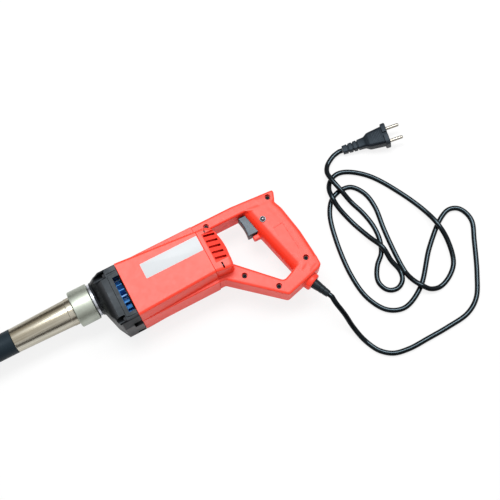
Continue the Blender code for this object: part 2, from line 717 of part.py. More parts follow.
def gear_case():
    straight_x = CASE_BACK_X - CASE_STRAIGHT
    slope = straight_x - CASE_FRONT_X
    rings = [
        case_ring(CASE_FRONT_X, 0),
        case_ring(CASE_FRONT_X + 0.12 * slope, 0.02),
        case_ring(CASE_FRONT_X + 0.52 * slope, 0.62),
        case_ring(straight_x, 1),
        case_ring(CASE_BACK_X, 1),
    ]
    case = loft("gear_case", rings, "black_casting")
    spare = 3 * MM
    chamber_x = PLATE_X - GAP
    gear_radius = GEAR_MODULE * (GEAR_TEETH / 2 + 1) + 2 * RUNNING_GAP
    pinion_radius = GEAR_MODULE * (PINION_TEETH / 2 + 1) + 2 * RUNNING_GAP
    bearing_back = SPINDLE_BEARING_X + SPINDLE_BEARING[2]
    cut(
        case,
        rod("case_chamber", chamber_x, CASE_BACK_X + spare, CASE_CHAMBER_RADIUS, along_x(0, MOTOR_Y),
            sides=FINE),
        rod("gear_chamber", bearing_back + GAP, chamber_x + spare, gear_radius, along_x(), sides=FINE),
        rod("pinion_chamber", bearing_back + GAP, chamber_x + spare, pinion_radius, along_x(0, MOTOR_Y)),
        rod("bearing_seat", SPINDLE_BEARING_X - GAP, bearing_back + spare, SPINDLE_BEARING[1] + GAP, along_x(),
            sides=MEDIUM),
        rod("pilot_hole", CASE_FRONT_X - spare, SPINDLE_BEARING_X, pilot_radius() + GAP, along_x(),
            sides=MEDIUM),
    )
    case = settle(case)
    for side in (1, -1):
        near = AXIS_Z + side * 0.6 * CASE_CHAMBER_RADIUS
        far = AXIS_Z + side * BARREL_DEPTH
        low, high = sorted((near, far))
        cut(case, block("case_window_%d" % side, (CASE_BACK_X - WINDOW_LENGTH, WINDOW_LOW, low),
                        (CASE_BACK_X + spare, WINDOW_TOP, high)))
        low, high = sorted((AXIS_Z + side * SIDE_WINDOW_NEAR, AXIS_Z + side * SIDE_WINDOW_FAR))
        cut(case, block("side_window_%d" % side,
                        (CASE_BACK_X - SIDE_WINDOW_LENGTH, KEEL_LOW - 4 * spare, low),
                        (CASE_BACK_X + spare, KEEL_TOP + 4 * spare, high)))
    case = settle(case)
    head = CASE_BACK_X - CASE_SCREW_SEAT
    for name, (y, z) in case_screw_places().items():
        pocket = CASE_SCREW_HEAD_RADIUS + 3 * GAP
        hole = CASE_SCREW_RADIUS + GAP
        outline = [
            (CASE_BACK_X + spare, 0), (CASE_BACK_X + spare, hole), (head, hole), (head, pocket),
            (CASE_FRONT_X - spare, pocket), (CASE_FRONT_X - spare, 0),
        ]
        cut(case, turned(name + "_hole", outline, along_x(0, y, z), sides=12))
    case = settle(case)
    smooth(case)


def case_screws():
    seat = CASE_BACK_X - CASE_SCREW_SEAT - GAP
    for name, (y, z) in case_screw_places().items():
        outline = [
            (FRONT_X + CASE_SCREW_BITE, 0), (FRONT_X + CASE_SCREW_BITE, CASE_SCREW_RADIUS),
            (seat, CASE_SCREW_RADIUS), (seat, CASE_SCREW_HEAD_RADIUS),
            (seat - CASE_SCREW_HEAD, CASE_SCREW_HEAD_RADIUS * 0.8), (seat - CASE_SCREW_HEAD, 0),
        ]
        turned(name, outline, along_x(0, y, z), "dark_steel", 10)


def pilot_radius():
    return (SPINDLE_BEARING[1] + SPINDLE_BEARING[0]) / 2 + 1 * MM


def hose_coupling():
    """Spigot on the gear case, the nut that turns on it, and the ferrule that the nut holds."""
    flange_back = CASE_FRONT_X - GAP
    flange_front = flange_back - SPIGOT_FLANGE
    sleeve_outline = [
        (SPINDLE_BEARING_X - GAP, pilot_radius()), (flange_back, pilot_radius()),
        (flange_back, SPIGOT_FLANGE_RADIUS), (flange_front, SPIGOT_FLANGE_RADIUS),
        (flange_front, SPIGOT_NECK_RADIUS), (SPIGOT_FRONT_X, SPIGOT_NECK_RADIUS),
        (SPIGOT_FRONT_X, SPIGOT_BORE), (SPINDLE_BEARING_X - GAP, SPIGOT_BORE),
    ]
    turned("spigot", sleeve_outline, along_x(), "aluminium", FINE, ring=True)
    thread = SPIGOT_NECK_RADIUS + RUNNING_GAP
    stub_hole = FERRULE_STUB_RADIUS + RUNNING_GAP
    nut_outline = [
        (NUT_FRONT_X, NUT_RADIUS), (NUT_BACK_X, NUT_RADIUS), (NUT_BACK_X, stub_hole),
        (NUT_BACK_X + NUT_BACK, stub_hole), (NUT_BACK_X + NUT_BACK, thread), (NUT_FRONT_X, thread),
    ]
    turned("coupling_nut", nut_outline, along_x(), "plated_steel", FINE, ring=True)
    shoulder = NUT_BACK_X - GAP
    flange_start = NUT_BACK_X + NUT_BACK + GAP
    bore = SPIGOT_BORE - 1 * MM
    crimp = shoulder - FERRULE_CRIMP
    ferrule_outline = [
        (flange_start + FERRULE_FLANGE, SPIGOT_NECK_RADIUS - GAP), (flange_start, SPIGOT_NECK_RADIUS - GAP),
        (flange_start, FERRULE_STUB_RADIUS), (shoulder, FERRULE_STUB_RADIUS), (shoulder, FERRULE_HEAD_RADIUS),
        (crimp, FERRULE_HEAD_RADIUS), (crimp - 1 * MM, FERRULE_HEAD_RADIUS - 0.7 * MM),
        (FERRULE_BACK_X, FERRULE_TAIL_RADIUS), (FERRULE_BACK_X, bore), (flange_start + FERRULE_FLANGE, bore),
    ]
    turned("hose_ferrule", ferrule_outline, along_x(), "plated_steel", FINE, ring=True)


def spindle_group():
    """Everything that turns on the spindle axis, and what carries it."""
    bore, outside, width = SPINDLE_BEARING
    sleeve("spindle_bearing", SPINDLE_BEARING_X, SPINDLE_BEARING_X + width, outside, bore + GAP, along_x(),
           "plated_steel")
    drive_face = SPIGOT_FRONT_X + 2 * MM
    bush_end = PLATE_X + PLATE_WIDTH
    shoulder = GEAR_X + GEAR_WIDTH
    outline = [
        (bush_end, 0), (bush_end, BUSH_BORE - GAP), (shoulder + GAP, BUSH_BORE - GAP),
        (shoulder + GAP, SPINDLE_RADIUS - 2 * MM), (GEAR_X - GAP, SPINDLE_RADIUS - 2 * MM),
        (GEAR_X - GAP, bore),
        (SPINDLE_BEARING_X - GAP, bore), (SPINDLE_BEARING_X - GAP, SPINDLE_RADIUS + 1 * MM),
        (drive_face, SPINDLE_RADIUS + 1 * MM), (drive_face, 0),
    ]
    spindle = turned("output_spindle", outline, along_x(), "dark_steel", MEDIUM)
    half = DRIVE_SIZE / 2 + GAP
    cut(spindle, block("drive_socket", (drive_face - 2 * MM, -half, AXIS_Z - half),
                       (drive_face + DRIVE_BITE + 1 * MM, half, AXIS_Z + half)))
    toothed("spindle_gear", GEAR_TEETH, GEAR_X, GEAR_X + GEAR_WIDTH, along_x(),
            -90 + 180 / GEAR_TEETH, SPINDLE_RADIUS - 2 * MM + GAP, "dark_steel")
    core_meet = HOSE_START_X + CORE_REACH
    drive_outline = [
        (drive_face - RUNNING_GAP, 0), (drive_face - RUNNING_GAP, DRIVE_END_RADIUS),
        (core_meet + GAP, DRIVE_END_RADIUS), (core_meet + GAP, 0),
    ]
    drive = turned("core_drive_end", drive_outline, along_x(), "dark_steel", COARSE)
    half = DRIVE_SIZE / 2
    join(drive, block("drive_tip", (drive_face - 5 * MM, -half, AXIS_Z - half),
                      (drive_face + DRIVE_BITE, half, AXIS_Z + half)))
    sleeve("spindle_bush", PLATE_X, bush_end, BUSH_RADIUS, BUSH_BORE, along_x(), "brass", COARSE)


def gear_plate():
    bore, outside, width = MOTOR_BEARING
    disc = rod("gear_plate", PLATE_X, PLATE_X + PLATE_WIDTH, CASE_CHAMBER_RADIUS - GAP, along_x(0, MOTOR_Y),
               "aluminium", FINE)
    seat = PLATE_X + PLATE_WIDTH - width
    cut(
        disc,
        rod("plate_bush_hole", PLATE_X - 2 * MM, PLATE_X + PLATE_WIDTH + 2 * MM, BUSH_RADIUS + GAP, along_x()),
        rod("plate_bearing_seat", seat - GAP, PLATE_X + PLATE_WIDTH + 2 * MM, outside + GAP,
            along_x(0, MOTOR_Y),
            sides=MEDIUM),
        rod("plate_shaft_hole", PLATE_X - 2 * MM, seat, bore + 3 * MM, along_x(0, MOTOR_Y)),
    )
    smooth(settle(disc))
    sleeve("front_bearing", seat, PLATE_X + PLATE_WIDTH, outside, bore + GAP, along_x(0, MOTOR_Y),
           "plated_steel",
           MEDIUM)


def fan():
    place = along_x(0, MOTOR_Y)
    end = FAN_X + FAN_LENGTH
    bore = SHAFT_RADIUS + GAP
    outline = [
        (end, FAN_HUB_RADIUS), (FAN_X + FAN_DISC, FAN_HUB_RADIUS), (FAN_X + FAN_DISC, FAN_RADIUS),
        (FAN_X, FAN_RADIUS), (FAN_X, bore), (end, bore),
    ]
    wheel = turned("fan", outline, place, "blue_plastic", 48, ring=True)
    form = bmesh.new()
    for k in range(FAN_BLADES):
        made = bmesh.ops.create_cube(form, size=1.0)["verts"]
        length = FAN_RADIUS - 0.4 * MM - FAN_EYE_RADIUS
        bmesh.ops.scale(form, vec=(length, FAN_BLADE_WIDTH, FAN_LENGTH - 1 * MM), verts=made)
        middle = (FAN_EYE_RADIUS + length / 2, 0, FAN_X + (FAN_LENGTH + 1 * MM) / 2)
        bmesh.ops.translate(form, vec=middle, verts=made)
        turn = Matrix.Rotation(math.tau * (k + 0.5) / FAN_BLADES, 3, "Z")
        bmesh.ops.rotate(form, cent=(0, 0, 0), matrix=turn, verts=made)
    blades = add_mesh("fan_blades", form)
    blades.matrix_world = place
    bpy.context.view_layer.update()
    join(wheel, blades)
    settle(wheel)


def armature():
    place = along_x(0, MOTOR_Y)
    bore, _, width = MOTOR_BEARING
    core_end = CORE_END_X
    shaft_end = BRACKET_X + BRACKET_WIDTH + 1 * MM
    seat = PLATE_X + PLATE_WIDTH
    outline = [
        (shaft_end, 0), (shaft_end, bore), (BRACKET_X - GAP, bore), (BRACKET_X - GAP, SHAFT_RADIUS),
        (seat + GAP, SHAFT_RADIUS), (seat + GAP, bore), (PLATE_X - GAP, bore),
        (PLATE_X - GAP, GEAR_MODULE * 2.5), (GEAR_X, GEAR_MODULE * 2.5), (GEAR_X, 0),
    ]
    shaft = turned("armature_shaft", outline, place, "dark_steel", COARSE)
    pinion = toothed("pinion_teeth", PINION_TEETH, GEAR_X + 0.2 * MM, PLATE_X - 2 * GAP, place, 90)
    join(shaft, pinion)
    smooth(settle(shaft))
    hole = SHAFT_RADIUS + GAP
    sleeve("armature_core", CORE_X, core_end, ARMATURE_RADIUS, hole, place, "dark_steel", MEDIUM)
    for name, start, tip in (
        ("winding_front", CORE_X - GAP, CORE_X - GAP - WINDING_LENGTH),
        ("winding_rear", core_end + GAP + WINDING_LENGTH, core_end + GAP),
    ):
        blunt = 2 * MM
        outline = [
            (start, WINDING_RADIUS - (blunt if name == "winding_rear" else 0)), (start - blunt, WINDING_RADIUS),
            (tip + blunt, WINDING_RADIUS), (tip, WINDING_RADIUS - (blunt if name == "winding_front" else 0)),
            (tip, hole), (start, hole),
        ]
        turned(name, outline, place, "copper", MEDIUM, ring=True)
    sleeve("commutator", COMMUTATOR_X, COMMUTATOR_X + COMMUTATOR_LENGTH, COMMUTATOR_RADIUS, hole, place,
           "copper")


def stator():
    place = along_x(0, MOTOR_Y)
    start = CORE_X - STATOR_OVERHANG
    end = CORE_END_X + STATOR_OVERHANG
    core = sleeve("stator_core", start, end, BARREL_BORE_RADIUS - GAP, ARMATURE_RADIUS + AIR_GAP, place,
                  "dark_steel",
                  FINE)
    for pole, name in ((90, "field_coil_upper"), (-90, "field_coil_lower")):
        path = []
        count = 5
        sides = ((end + COIL_OVERHANG - COIL_RADIUS, 1), (start - COIL_OVERHANG + COIL_RADIUS, -1))
        for x, way in sides:
            for k in range(count + 1):
                angle = math.radians(pole + way * COIL_HALF_ANGLE * (1 - 2 * k / count))
                path.append(Vector((x, MOTOR_Y + COIL_PITCH_RADIUS * math.cos(angle),
                                    AXIS_Z + COIL_PITCH_RADIUS * math.sin(angle))))
        tube(name, path, COIL_RADIUS, "copper", closed=True, roundness=1)
        for way in (1, -1):
            angle = math.radians(pole + way * COIL_HALF_ANGLE)
            centre_y = MOTOR_Y + COIL_PITCH_RADIUS * math.cos(angle)
            centre_z = AXIS_Z + COIL_PITCH_RADIUS * math.sin(angle)
            cut(core, rod("%s_slot_%d" % (name, way), start - 2 * MM, end + 2 * MM, COIL_RADIUS + 3 * GAP,
                          along_x(0, centre_y, centre_z), sides=12))
    smooth(settle(core))


def brushes():
    bore, outside, width = MOTOR_BEARING
    place = along_x(0, MOTOR_Y)
    bracket = rod("brush_bracket", BRACKET_X, BRACKET_X + BRACKET_WIDTH, BARREL_BORE_RADIUS - GAP, place,
                  "black_plastic", FINE)
    seat = BRACKET_X + (BRACKET_WIDTH - width) / 2
    cut(
        bracket,
        rod("bracket_seat", seat - GAP, BRACKET_X + BRACKET_WIDTH + 2 * MM, outside + GAP, place, sides=MEDIUM),
        rod("bracket_hole", BRACKET_X - 2 * MM, seat, bore + 2 * MM, place),
    )
    for k in range(4):
        angle = math.radians(45 + 90 * k)
        reach = (outside + BARREL_BORE_RADIUS) / 2
        cut(bracket, rod("bracket_vent_%d" % k, BRACKET_X - 2 * MM, BRACKET_X + BRACKET_WIDTH + 2 * MM, 7 * MM,
                         along_x(0, MOTOR_Y + reach * math.cos(angle), AXIS_Z + reach * math.sin(angle)),
                         sides=12))
    smooth(settle(bracket))
    sleeve("rear_bearing", seat, seat + width, outside, bore + GAP, place, "plated_steel", MEDIUM)
    middle = COMMUTATOR_X + COMMUTATOR_LENGTH / 2
    long_half = BRUSH_SIZE[0] / 2
    wide_half = BRUSH_SIZE[1] / 2
    inner = COMMUTATOR_RADIUS + GAP
    for side, way in (("top", 1), ("low", -1)):
        start = inner + 1.5 * MM
        ys = sorted((MOTOR_Y + way * start, MOTOR_Y + way * (start + HOLDER_LENGTH)))
        wall = HOLDER_WALL + GAP
        holder = block("brush_holder_" + side, (middle - long_half - wall, ys[0], AXIS_Z - wide_half - wall),
                       (middle + long_half + wall, ys[1], AXIS_Z + wide_half + wall), "brass")
        cut(holder, block("holder_bore_" + side,
                          (middle - long_half - GAP, ys[0] - 2 * MM, AXIS_Z - wide_half - GAP),
                          (middle + long_half + GAP, ys[1] + 2 * MM, AXIS_Z + wide_half + GAP)))
        settle(holder)
        ys = sorted((MOTOR_Y + way * inner, MOTOR_Y + way * (inner + BRUSH_LENGTH)))
        block("carbon_brush_" + side, (middle - long_half, ys[0], AXIS_Z - wide_half),
              (middle + long_half, ys[1], AXIS_Z + wide_half), "carbon")


def from_rear(corners):
    return [(REAR_X + x, y, radius) for x, y, radius in corners]


def boss_place(along=0.0):
    """Local Z along the way the cord leaves, at a distance along it from the boss's outer face."""
    turn = Matrix.Rotation(math.radians(BOSS_TURN), 4, "Z") @ Matrix.Rotation(math.radians(90), 4, "Y")
    boss = Matrix.Translation((REAR_X + BOSS_PLACE[0], BOSS_PLACE[1], AXIS_Z))
    return boss @ turn @ Matrix.Translation((0, 0, along))


def handle_form():
    """The whole handle before it is split: outside, cavity, posts, holes and slots."""
    half = HANDLE_DEPTH / 2
    barrel_half = BARREL_DEPTH / 2
    top_arm, lower_arm, grip, cap = (
        from_rear(outline) for outline in (TOP_ARM_OUTLINE, LOWER_ARM_OUTLINE, GRIP_OUTLINE, CAP_OUTLINE))
    top_half = half - ARM_STEP
    low_half = half - 1.5 * ARM_STEP
    form = plate("handle_form", [rounded(cap, 6)], AXIS_Z - barrel_half, AXIS_Z + barrel_half, edge=BARREL_EDGE)
    join(
        form,
        plate("top_arm", [rounded(top_arm)], AXIS_Z - top_half, AXIS_Z + top_half, edge=HANDLE_EDGE),
        plate("lower_arm", [rounded(lower_arm)], AXIS_Z - low_half, AXIS_Z + low_half, edge=HANDLE_EDGE),
        plate("grip", [rounded(grip)], AXIS_Z - half, AXIS_Z + half, edge=GRIP_EDGE),
        block("trigger_lug", (REAR_X + LUG_START, LUG_LOW, AXIS_Z - LUG_WIDTH / 2),
              (REAR_X + LUG_END, LUG_TOP, AXIS_Z + LUG_WIDTH / 2)),
    )
    form = settle(form)
    spare = 5 * MM
    cut(
        form,
        block("seam_cut", (FRONT_X, -0.2, -0.2), (CAP_X, 0.2, 0.2)),
        cap_cavity(),
        plate("top_cavity", [rounded(inset(top_arm[:5] + top_arm[6:], SHELL_WALL))],
              AXIS_Z - top_half + SHELL_WALL, AXIS_Z + top_half - SHELL_WALL),
        plate("low_cavity", [rounded(inset(lower_arm, SHELL_WALL))], AXIS_Z - low_half + SHELL_WALL,
              AXIS_Z + low_half - SHELL_WALL),
        plate("grip_cavity", [rounded(inset(grip, GRIP_WALL))], AXIS_Z - half + GRIP_WALL,
              AXIS_Z + half - GRIP_WALL),
    )
    form = settle(form)
    for name, (x, y) in HANDLE_SCREWS.items():
        place = Matrix.Translation((REAR_X + x, y, AXIS_Z))
        join(form, rod(name + "_post", 2 * MM - half, half - 2 * MM, POST_RADIUS, place, sides=12))
    join(form, rod("cable_boss", -BOSS_REACH, 0, BOSS_RADIUS, boss_place(), sides=MEDIUM))
    form = settle(form)
    for name, (x, y) in HANDLE_SCREWS.items():
        place = Matrix.Translation((REAR_X + x, y, AXIS_Z))
        seat = half - HANDLE_SCREW_SUNK - HANDLE_SCREW_HEAD - GAP
        sink = HANDLE_SCREW_HEAD_RADIUS + GAP
        bore = HANDLE_SCREW_RADIUS + GAP
        bottom = -HANDLE_SCREW_BITE - GAP
        outline = [
            (half + spare, 0), (half + spare, sink), (seat, sink), (seat, bore), (bottom, bore), (bottom, 0),
        ]
        cut(form, turned(name + "_hole", outline, place, sides=12))
    form = settle(form)
    boot_hole = BOOT_RADIUS + GAP
    collar = BOOT_COLLAR_RADIUS + GAP
    slot = RUNNING_GAP
    lock_place = Matrix.Translation((LOCK_X, LOCK_PLACE[1], AXIS_Z))
    groove = -BOOT_ROOT + BOOT_COLLAR + GAP
    inside = -BOSS_REACH - spare
    boot_outline = [
        (spare, 0), (spare, boot_hole), (groove, boot_hole), (groove, collar), (-BOOT_ROOT - GAP, collar),
        (-BOOT_ROOT - GAP, boot_hole), (inside, boot_hole), (inside, 0),
    ]
    lock_hole = LOCK_RADIUS + RUNNING_GAP
    lock_bay = LOCK_FLANGE_RADIUS + RUNNING_GAP
    ceiling = half - SHELL_WALL
    lock_low = SWITCH_DEPTH / 2 - spare / 2
    lock_outline = [
        (half + spare, 0), (half + spare, lock_hole), (ceiling, lock_hole), (ceiling, lock_bay),
        (lock_low, lock_bay),
        (lock_low, 0),
    ]
    cut(
        form,
        turned("boot_hole", boot_outline, boss_place(), sides=COARSE),
        block("trigger_slot", (TRIGGER_FRONT_X - spare, TRIGGER_LOW - slot, AXIS_Z - TRIGGER_WIDTH / 2 - slot),
              (SWITCH_X - slot, TRIGGER_TOP + slot, AXIS_Z + TRIGGER_WIDTH / 2 + slot)),
        turned("lock_hole", lock_outline, lock_place, sides=12),
    )
    form = settle(form)
    for side in (1, -1):
        face = AXIS_Z + side * barrel_half
        fall = Matrix.Rotation(math.radians(side * PANEL_FALL), 4, "Y")
        low, high = sorted((0, side * PANEL_DEPTH))
        cut(form, block("vent_panel_%d" % side, (0, PANEL_LOW, low), (PANEL_REACH, PANEL_TOP, high),
                        place=Matrix.Translation((REAR_X + PANEL_START, 0, face)) @ fall))
        low, high = sorted((-side * VENT_DEPTH, side * spare))
        for k in range(VENT_COUNT):
            turn = Matrix.Rotation(math.radians(-VENT_SLANT), 4, "Z")
            start = Matrix.Translation((REAR_X + VENT_START[0], VENT_START[1] - k * VENT_PITCH, face))
            cut(form, block("vent_%d_%d" % (side, k), (0, -VENT_WIDTH / 2, low),
                            (VENT_LENGTH, VENT_WIDTH / 2, high), place=start @ turn))
    form = settle(form)
    return form


def cap_cavity():
    """The hollow behind the motor, shallower toward the rear to follow the sunk vent panels."""
    rings = []
    for x, fall in ((CAP_X - 2 * MM, 0), (REAR_X + CAP_CAVITY_END, CAP_CAVITY_FALL)):
        depth = BARREL_DEPTH / 2 - CAP_WALL - fall
        top = BARREL_REAR_TOP - CAP_WALL
        low = BARREL_REAR_LOW + CAP_WALL
        corners = ((top, depth), (low, depth), (low, -depth), (top, -depth))
        rings.append([Vector((x, y, AXIS_Z + z)) for y, z in corners])
    return loft("cap_cavity", rings)


def handle_shells():
    form = handle_form()
    reach = 0.3
    for name, low, high in (
        ("handle_shell_upper", AXIS_Z - reach, AXIS_Z + GAP / 2),
        ("handle_shell_lower", AXIS_Z - GAP / 2, AXIS_Z + reach),
    ):
        shell = add_object(name, form.data.copy(), "red_plastic")
        shell.matrix_world = form.matrix_world
        cut(shell, block(name + "_split", (-reach, -reach, low), (reach, reach, high)))
        bpy.context.view_layer.update()
        shell = settle(shell)
        smooth(shell)
    half = HANDLE_DEPTH / 2
    head = half - HANDLE_SCREW_SUNK
    seat = head - HANDLE_SCREW_HEAD
    for name, (x, y) in HANDLE_SCREWS.items():
        outline = [
            (head, 0), (head, HANDLE_SCREW_HEAD_RADIUS * 0.8), (head - 1 * MM, HANDLE_SCREW_HEAD_RADIUS),
            (seat, HANDLE_SCREW_HEAD_RADIUS), (seat, HANDLE_SCREW_RADIUS),
            (-HANDLE_SCREW_BITE, HANDLE_SCREW_RADIUS), (-HANDLE_SCREW_BITE, 0),
        ]
        turned(name, outline, Matrix.Translation((REAR_X + x, y, AXIS_Z)), "dark_steel", 10)


def trigger_group():
    """Trigger, switch and lock button. The trigger slides along +X into the grip."""
    hollow = TRIGGER_HOLLOW
    tall = TRIGGER_TOP - TRIGGER_LOW
    front = []
    count = 5
    for k in range(count + 1):
        share = k / count
        dent = hollow * math.sin(math.pi * share)
        front.append((TRIGGER_FRONT_X + dent + 1.2 * MM * share, TRIGGER_TOP - tall * share))
    outline = [*front, (TRIGGER_BACK_X, TRIGGER_LOW), (TRIGGER_BACK_X, TRIGGER_TOP)]
    half = TRIGGER_WIDTH / 2
    trigger = plate("trigger", [outline], AXIS_Z - half, AXIS_Z + half, "grey_plastic")
    stem = STEM_SIZE / 2
    middle = (SWITCH_TOP + SWITCH_LOW) / 2
    join(trigger, block("trigger_stem", (TRIGGER_BACK_X - 4 * MM, middle - stem, AXIS_Z - stem),
                        (TRIGGER_BACK_X + STEM_LENGTH, middle + stem, AXIS_Z + stem)))
    settle(trigger)
    depth = SWITCH_DEPTH / 2
    switch = block("switch_body", (SWITCH_X, SWITCH_LOW, AXIS_Z - depth),
                   (SWITCH_X + SWITCH_LENGTH, SWITCH_TOP, AXIS_Z + depth), "black_plastic")
    stem += RUNNING_GAP
    cut(switch, block("stem_hole", (SWITCH_X - 2 * MM, middle - stem, AXIS_Z - stem),
                      (TRIGGER_BACK_X + STEM_LENGTH + TRIGGER_TRAVEL + RUNNING_GAP, middle + stem,
                       AXIS_Z + stem)))
    settle(switch)
    place = Matrix.Translation((LOCK_X, LOCK_PLACE[1], HANDLE_TOP_Z))
    under = -SHELL_WALL - GAP
    outline = [
        (LOCK_PROUD, 0), (LOCK_PROUD, LOCK_RADIUS * 0.75), (LOCK_PROUD - 0.8 * MM, LOCK_RADIUS),
        (under, LOCK_RADIUS), (under, LOCK_FLANGE_RADIUS), (under - LOCK_FLANGE, LOCK_FLANGE_RADIUS),
        (under - LOCK_FLANGE, 0),
    ]
    turned("lock_button", outline, place, "chrome", COARSE)
    sleeve("lock_ring", GAP, GAP + LOCK_RING, LOCK_RING_RADIUS, LOCK_RADIUS + RUNNING_GAP, place, "chrome",
           COARSE)


def boot_and_lead():
    """Boot in the cable boss, the lead inside the handle and the clamp that holds it."""
    outline = [
        (BOOT_LENGTH, 0), (BOOT_LENGTH, BOOT_TIP_RADIUS), (2 * MM, BOOT_RADIUS),
        (-BOOT_ROOT + BOOT_COLLAR, BOOT_RADIUS), (-BOOT_ROOT + BOOT_COLLAR, BOOT_COLLAR_RADIUS),
        (-BOOT_ROOT, BOOT_COLLAR_RADIUS), (-BOOT_ROOT, 0),
    ]
    turned("cord_boot", outline, boss_place(), "rubber", COARSE)
    way = boss_place().to_3x3() @ Vector((0, 0, 1))
    root = boss_place(-BOOT_ROOT - 3 * GAP).translation
    top = Vector((SWITCH_X + SWITCH_LENGTH / 2, SWITCH_LOW - GAP, AXIS_Z))
    route = [root, root - way * 6 * MM, Vector((CLAMP_X, CLAMP_PLACE[1], AXIS_Z)),
             top + Vector((0, -14 * MM, 0)), top]
    points, _ = smooth_route(route, 9)
    tube("inner_lead", points, CORD_RADIUS, "rubber", roundness=1)
    long, wide, thick = CLAMP_SIZE
    under = AXIS_Z + CORD_RADIUS + GAP
    block("cord_clamp", (CLAMP_X - long / 2, CLAMP_PLACE[1] - wide / 2, under),
          (CLAMP_X + long / 2, CLAMP_PLACE[1] + wide / 2, under + thick), "black_plastic")


def plug_place(along=0.0):
    turn = (Matrix.Rotation(math.radians(PLUG_TURN), 4, "Z")
            @ Matrix.Rotation(math.radians(90 - PLUG_RISE), 4, "Y"))
    return Matrix.Translation(PLUG_PLACE) @ turn @ Matrix.Translation((0, 0, along))


def mains_cord():
    place = boss_place()
    way = place.to_3x3() @ Vector((0, 0, 1))
    start = boss_place(BOOT_LENGTH + GAP).translation
    lie = CORD_RADIUS + FLOOR_GAP
    plug_way = plug_place().to_3x3() @ Vector((0, 0, 1))
    end = plug_place(-GAP).translation
    route = [start + way * CORD_LEAD]
    route += [Vector((x * MM, y * MM, lie + lift * MM)) for x, y, lift in CORD_ROUTE]
    route += [end - plug_way * CORD_LEAD]
    points, total = smooth_route(route, CORD_COUNT, CORD_BEND)
    points = [start, *points, end]
    for point in points:
        point.z = max(point.z, lie)
    print("mains cord: length %.3f m, least gap to itself %.2f mm"
          % (total + 2 * CORD_LEAD, least_gap(points, CORD_RADIUS) / MM))
    tube("mains_cord", points, CORD_RADIUS, "rubber")


def plug():
    outline = [(PLUG_LENGTH, 0), (PLUG_LENGTH, PLUG_FLANGE_RADIUS),
               (PLUG_LENGTH - PLUG_FLANGE, PLUG_FLANGE_RADIUS),
               (PLUG_LENGTH - PLUG_FLANGE, PLUG_BODY_RADIUS)]
    shoulder = PLUG_BOOT + 14 * MM
    outline += [(shoulder, PLUG_BODY_RADIUS - 3 * MM), (PLUG_BOOT + 4 * MM, PLUG_NECK_RADIUS)]
    rib = PLUG_BOOT / (2 * PLUG_RIBS)
    for k in range(PLUG_RIBS):
        top = PLUG_BOOT - 2 * k * rib
        share = top / PLUG_BOOT
        radius = PLUG_BOOT_RADIUS + (PLUG_NECK_RADIUS - PLUG_BOOT_RADIUS) * share
        outline += [(top, radius), (top - 0.3 * rib, radius - 1 * MM), (top - 0.7 * rib, radius - 1 * MM),
                    (top - rib, radius)]
    outline += [(0, PLUG_BOOT_RADIUS), (0, 0)]
    body = turned("plug_body", outline, plug_place(), "black_plastic", MEDIUM)
    for k, way in enumerate((1, -1)):
        offset = Matrix.Translation((0, way * PIN_SPACING / 2, 0))
        cut(body, rod("pin_hole_%d" % k, PLUG_LENGTH - PIN_ROOT - GAP, PLUG_LENGTH + 3 * MM, PIN_RADIUS + GAP,
                      plug_place() @ offset, sides=12))
        tip = PLUG_LENGTH + PIN_LENGTH
        outline = [(tip, 0), (tip, PIN_RADIUS * 0.5), (tip - 1.5 * MM, PIN_RADIUS),
                   (PLUG_LENGTH - PIN_ROOT, PIN_RADIUS), (PLUG_LENGTH - PIN_ROOT, 0)]
        turned("plug_pin_%d" % (k + 1), outline, plug_place() @ offset, "plated_steel", 12)
    smooth(settle(body))


def hose_points():
    lie = HOSE_RADIUS + FLOOR_GAP
    start = Vector((HOSE_START_X, 0, AXIS_Z))
    route = [start]
    for x, y, lift in HOSE_ROUTE:
        height = AXIS_Z if lift is None else lie + lift * MM
        route.append(Vector((HOSE_START_X + x * MM, y * MM, height)))
    return route


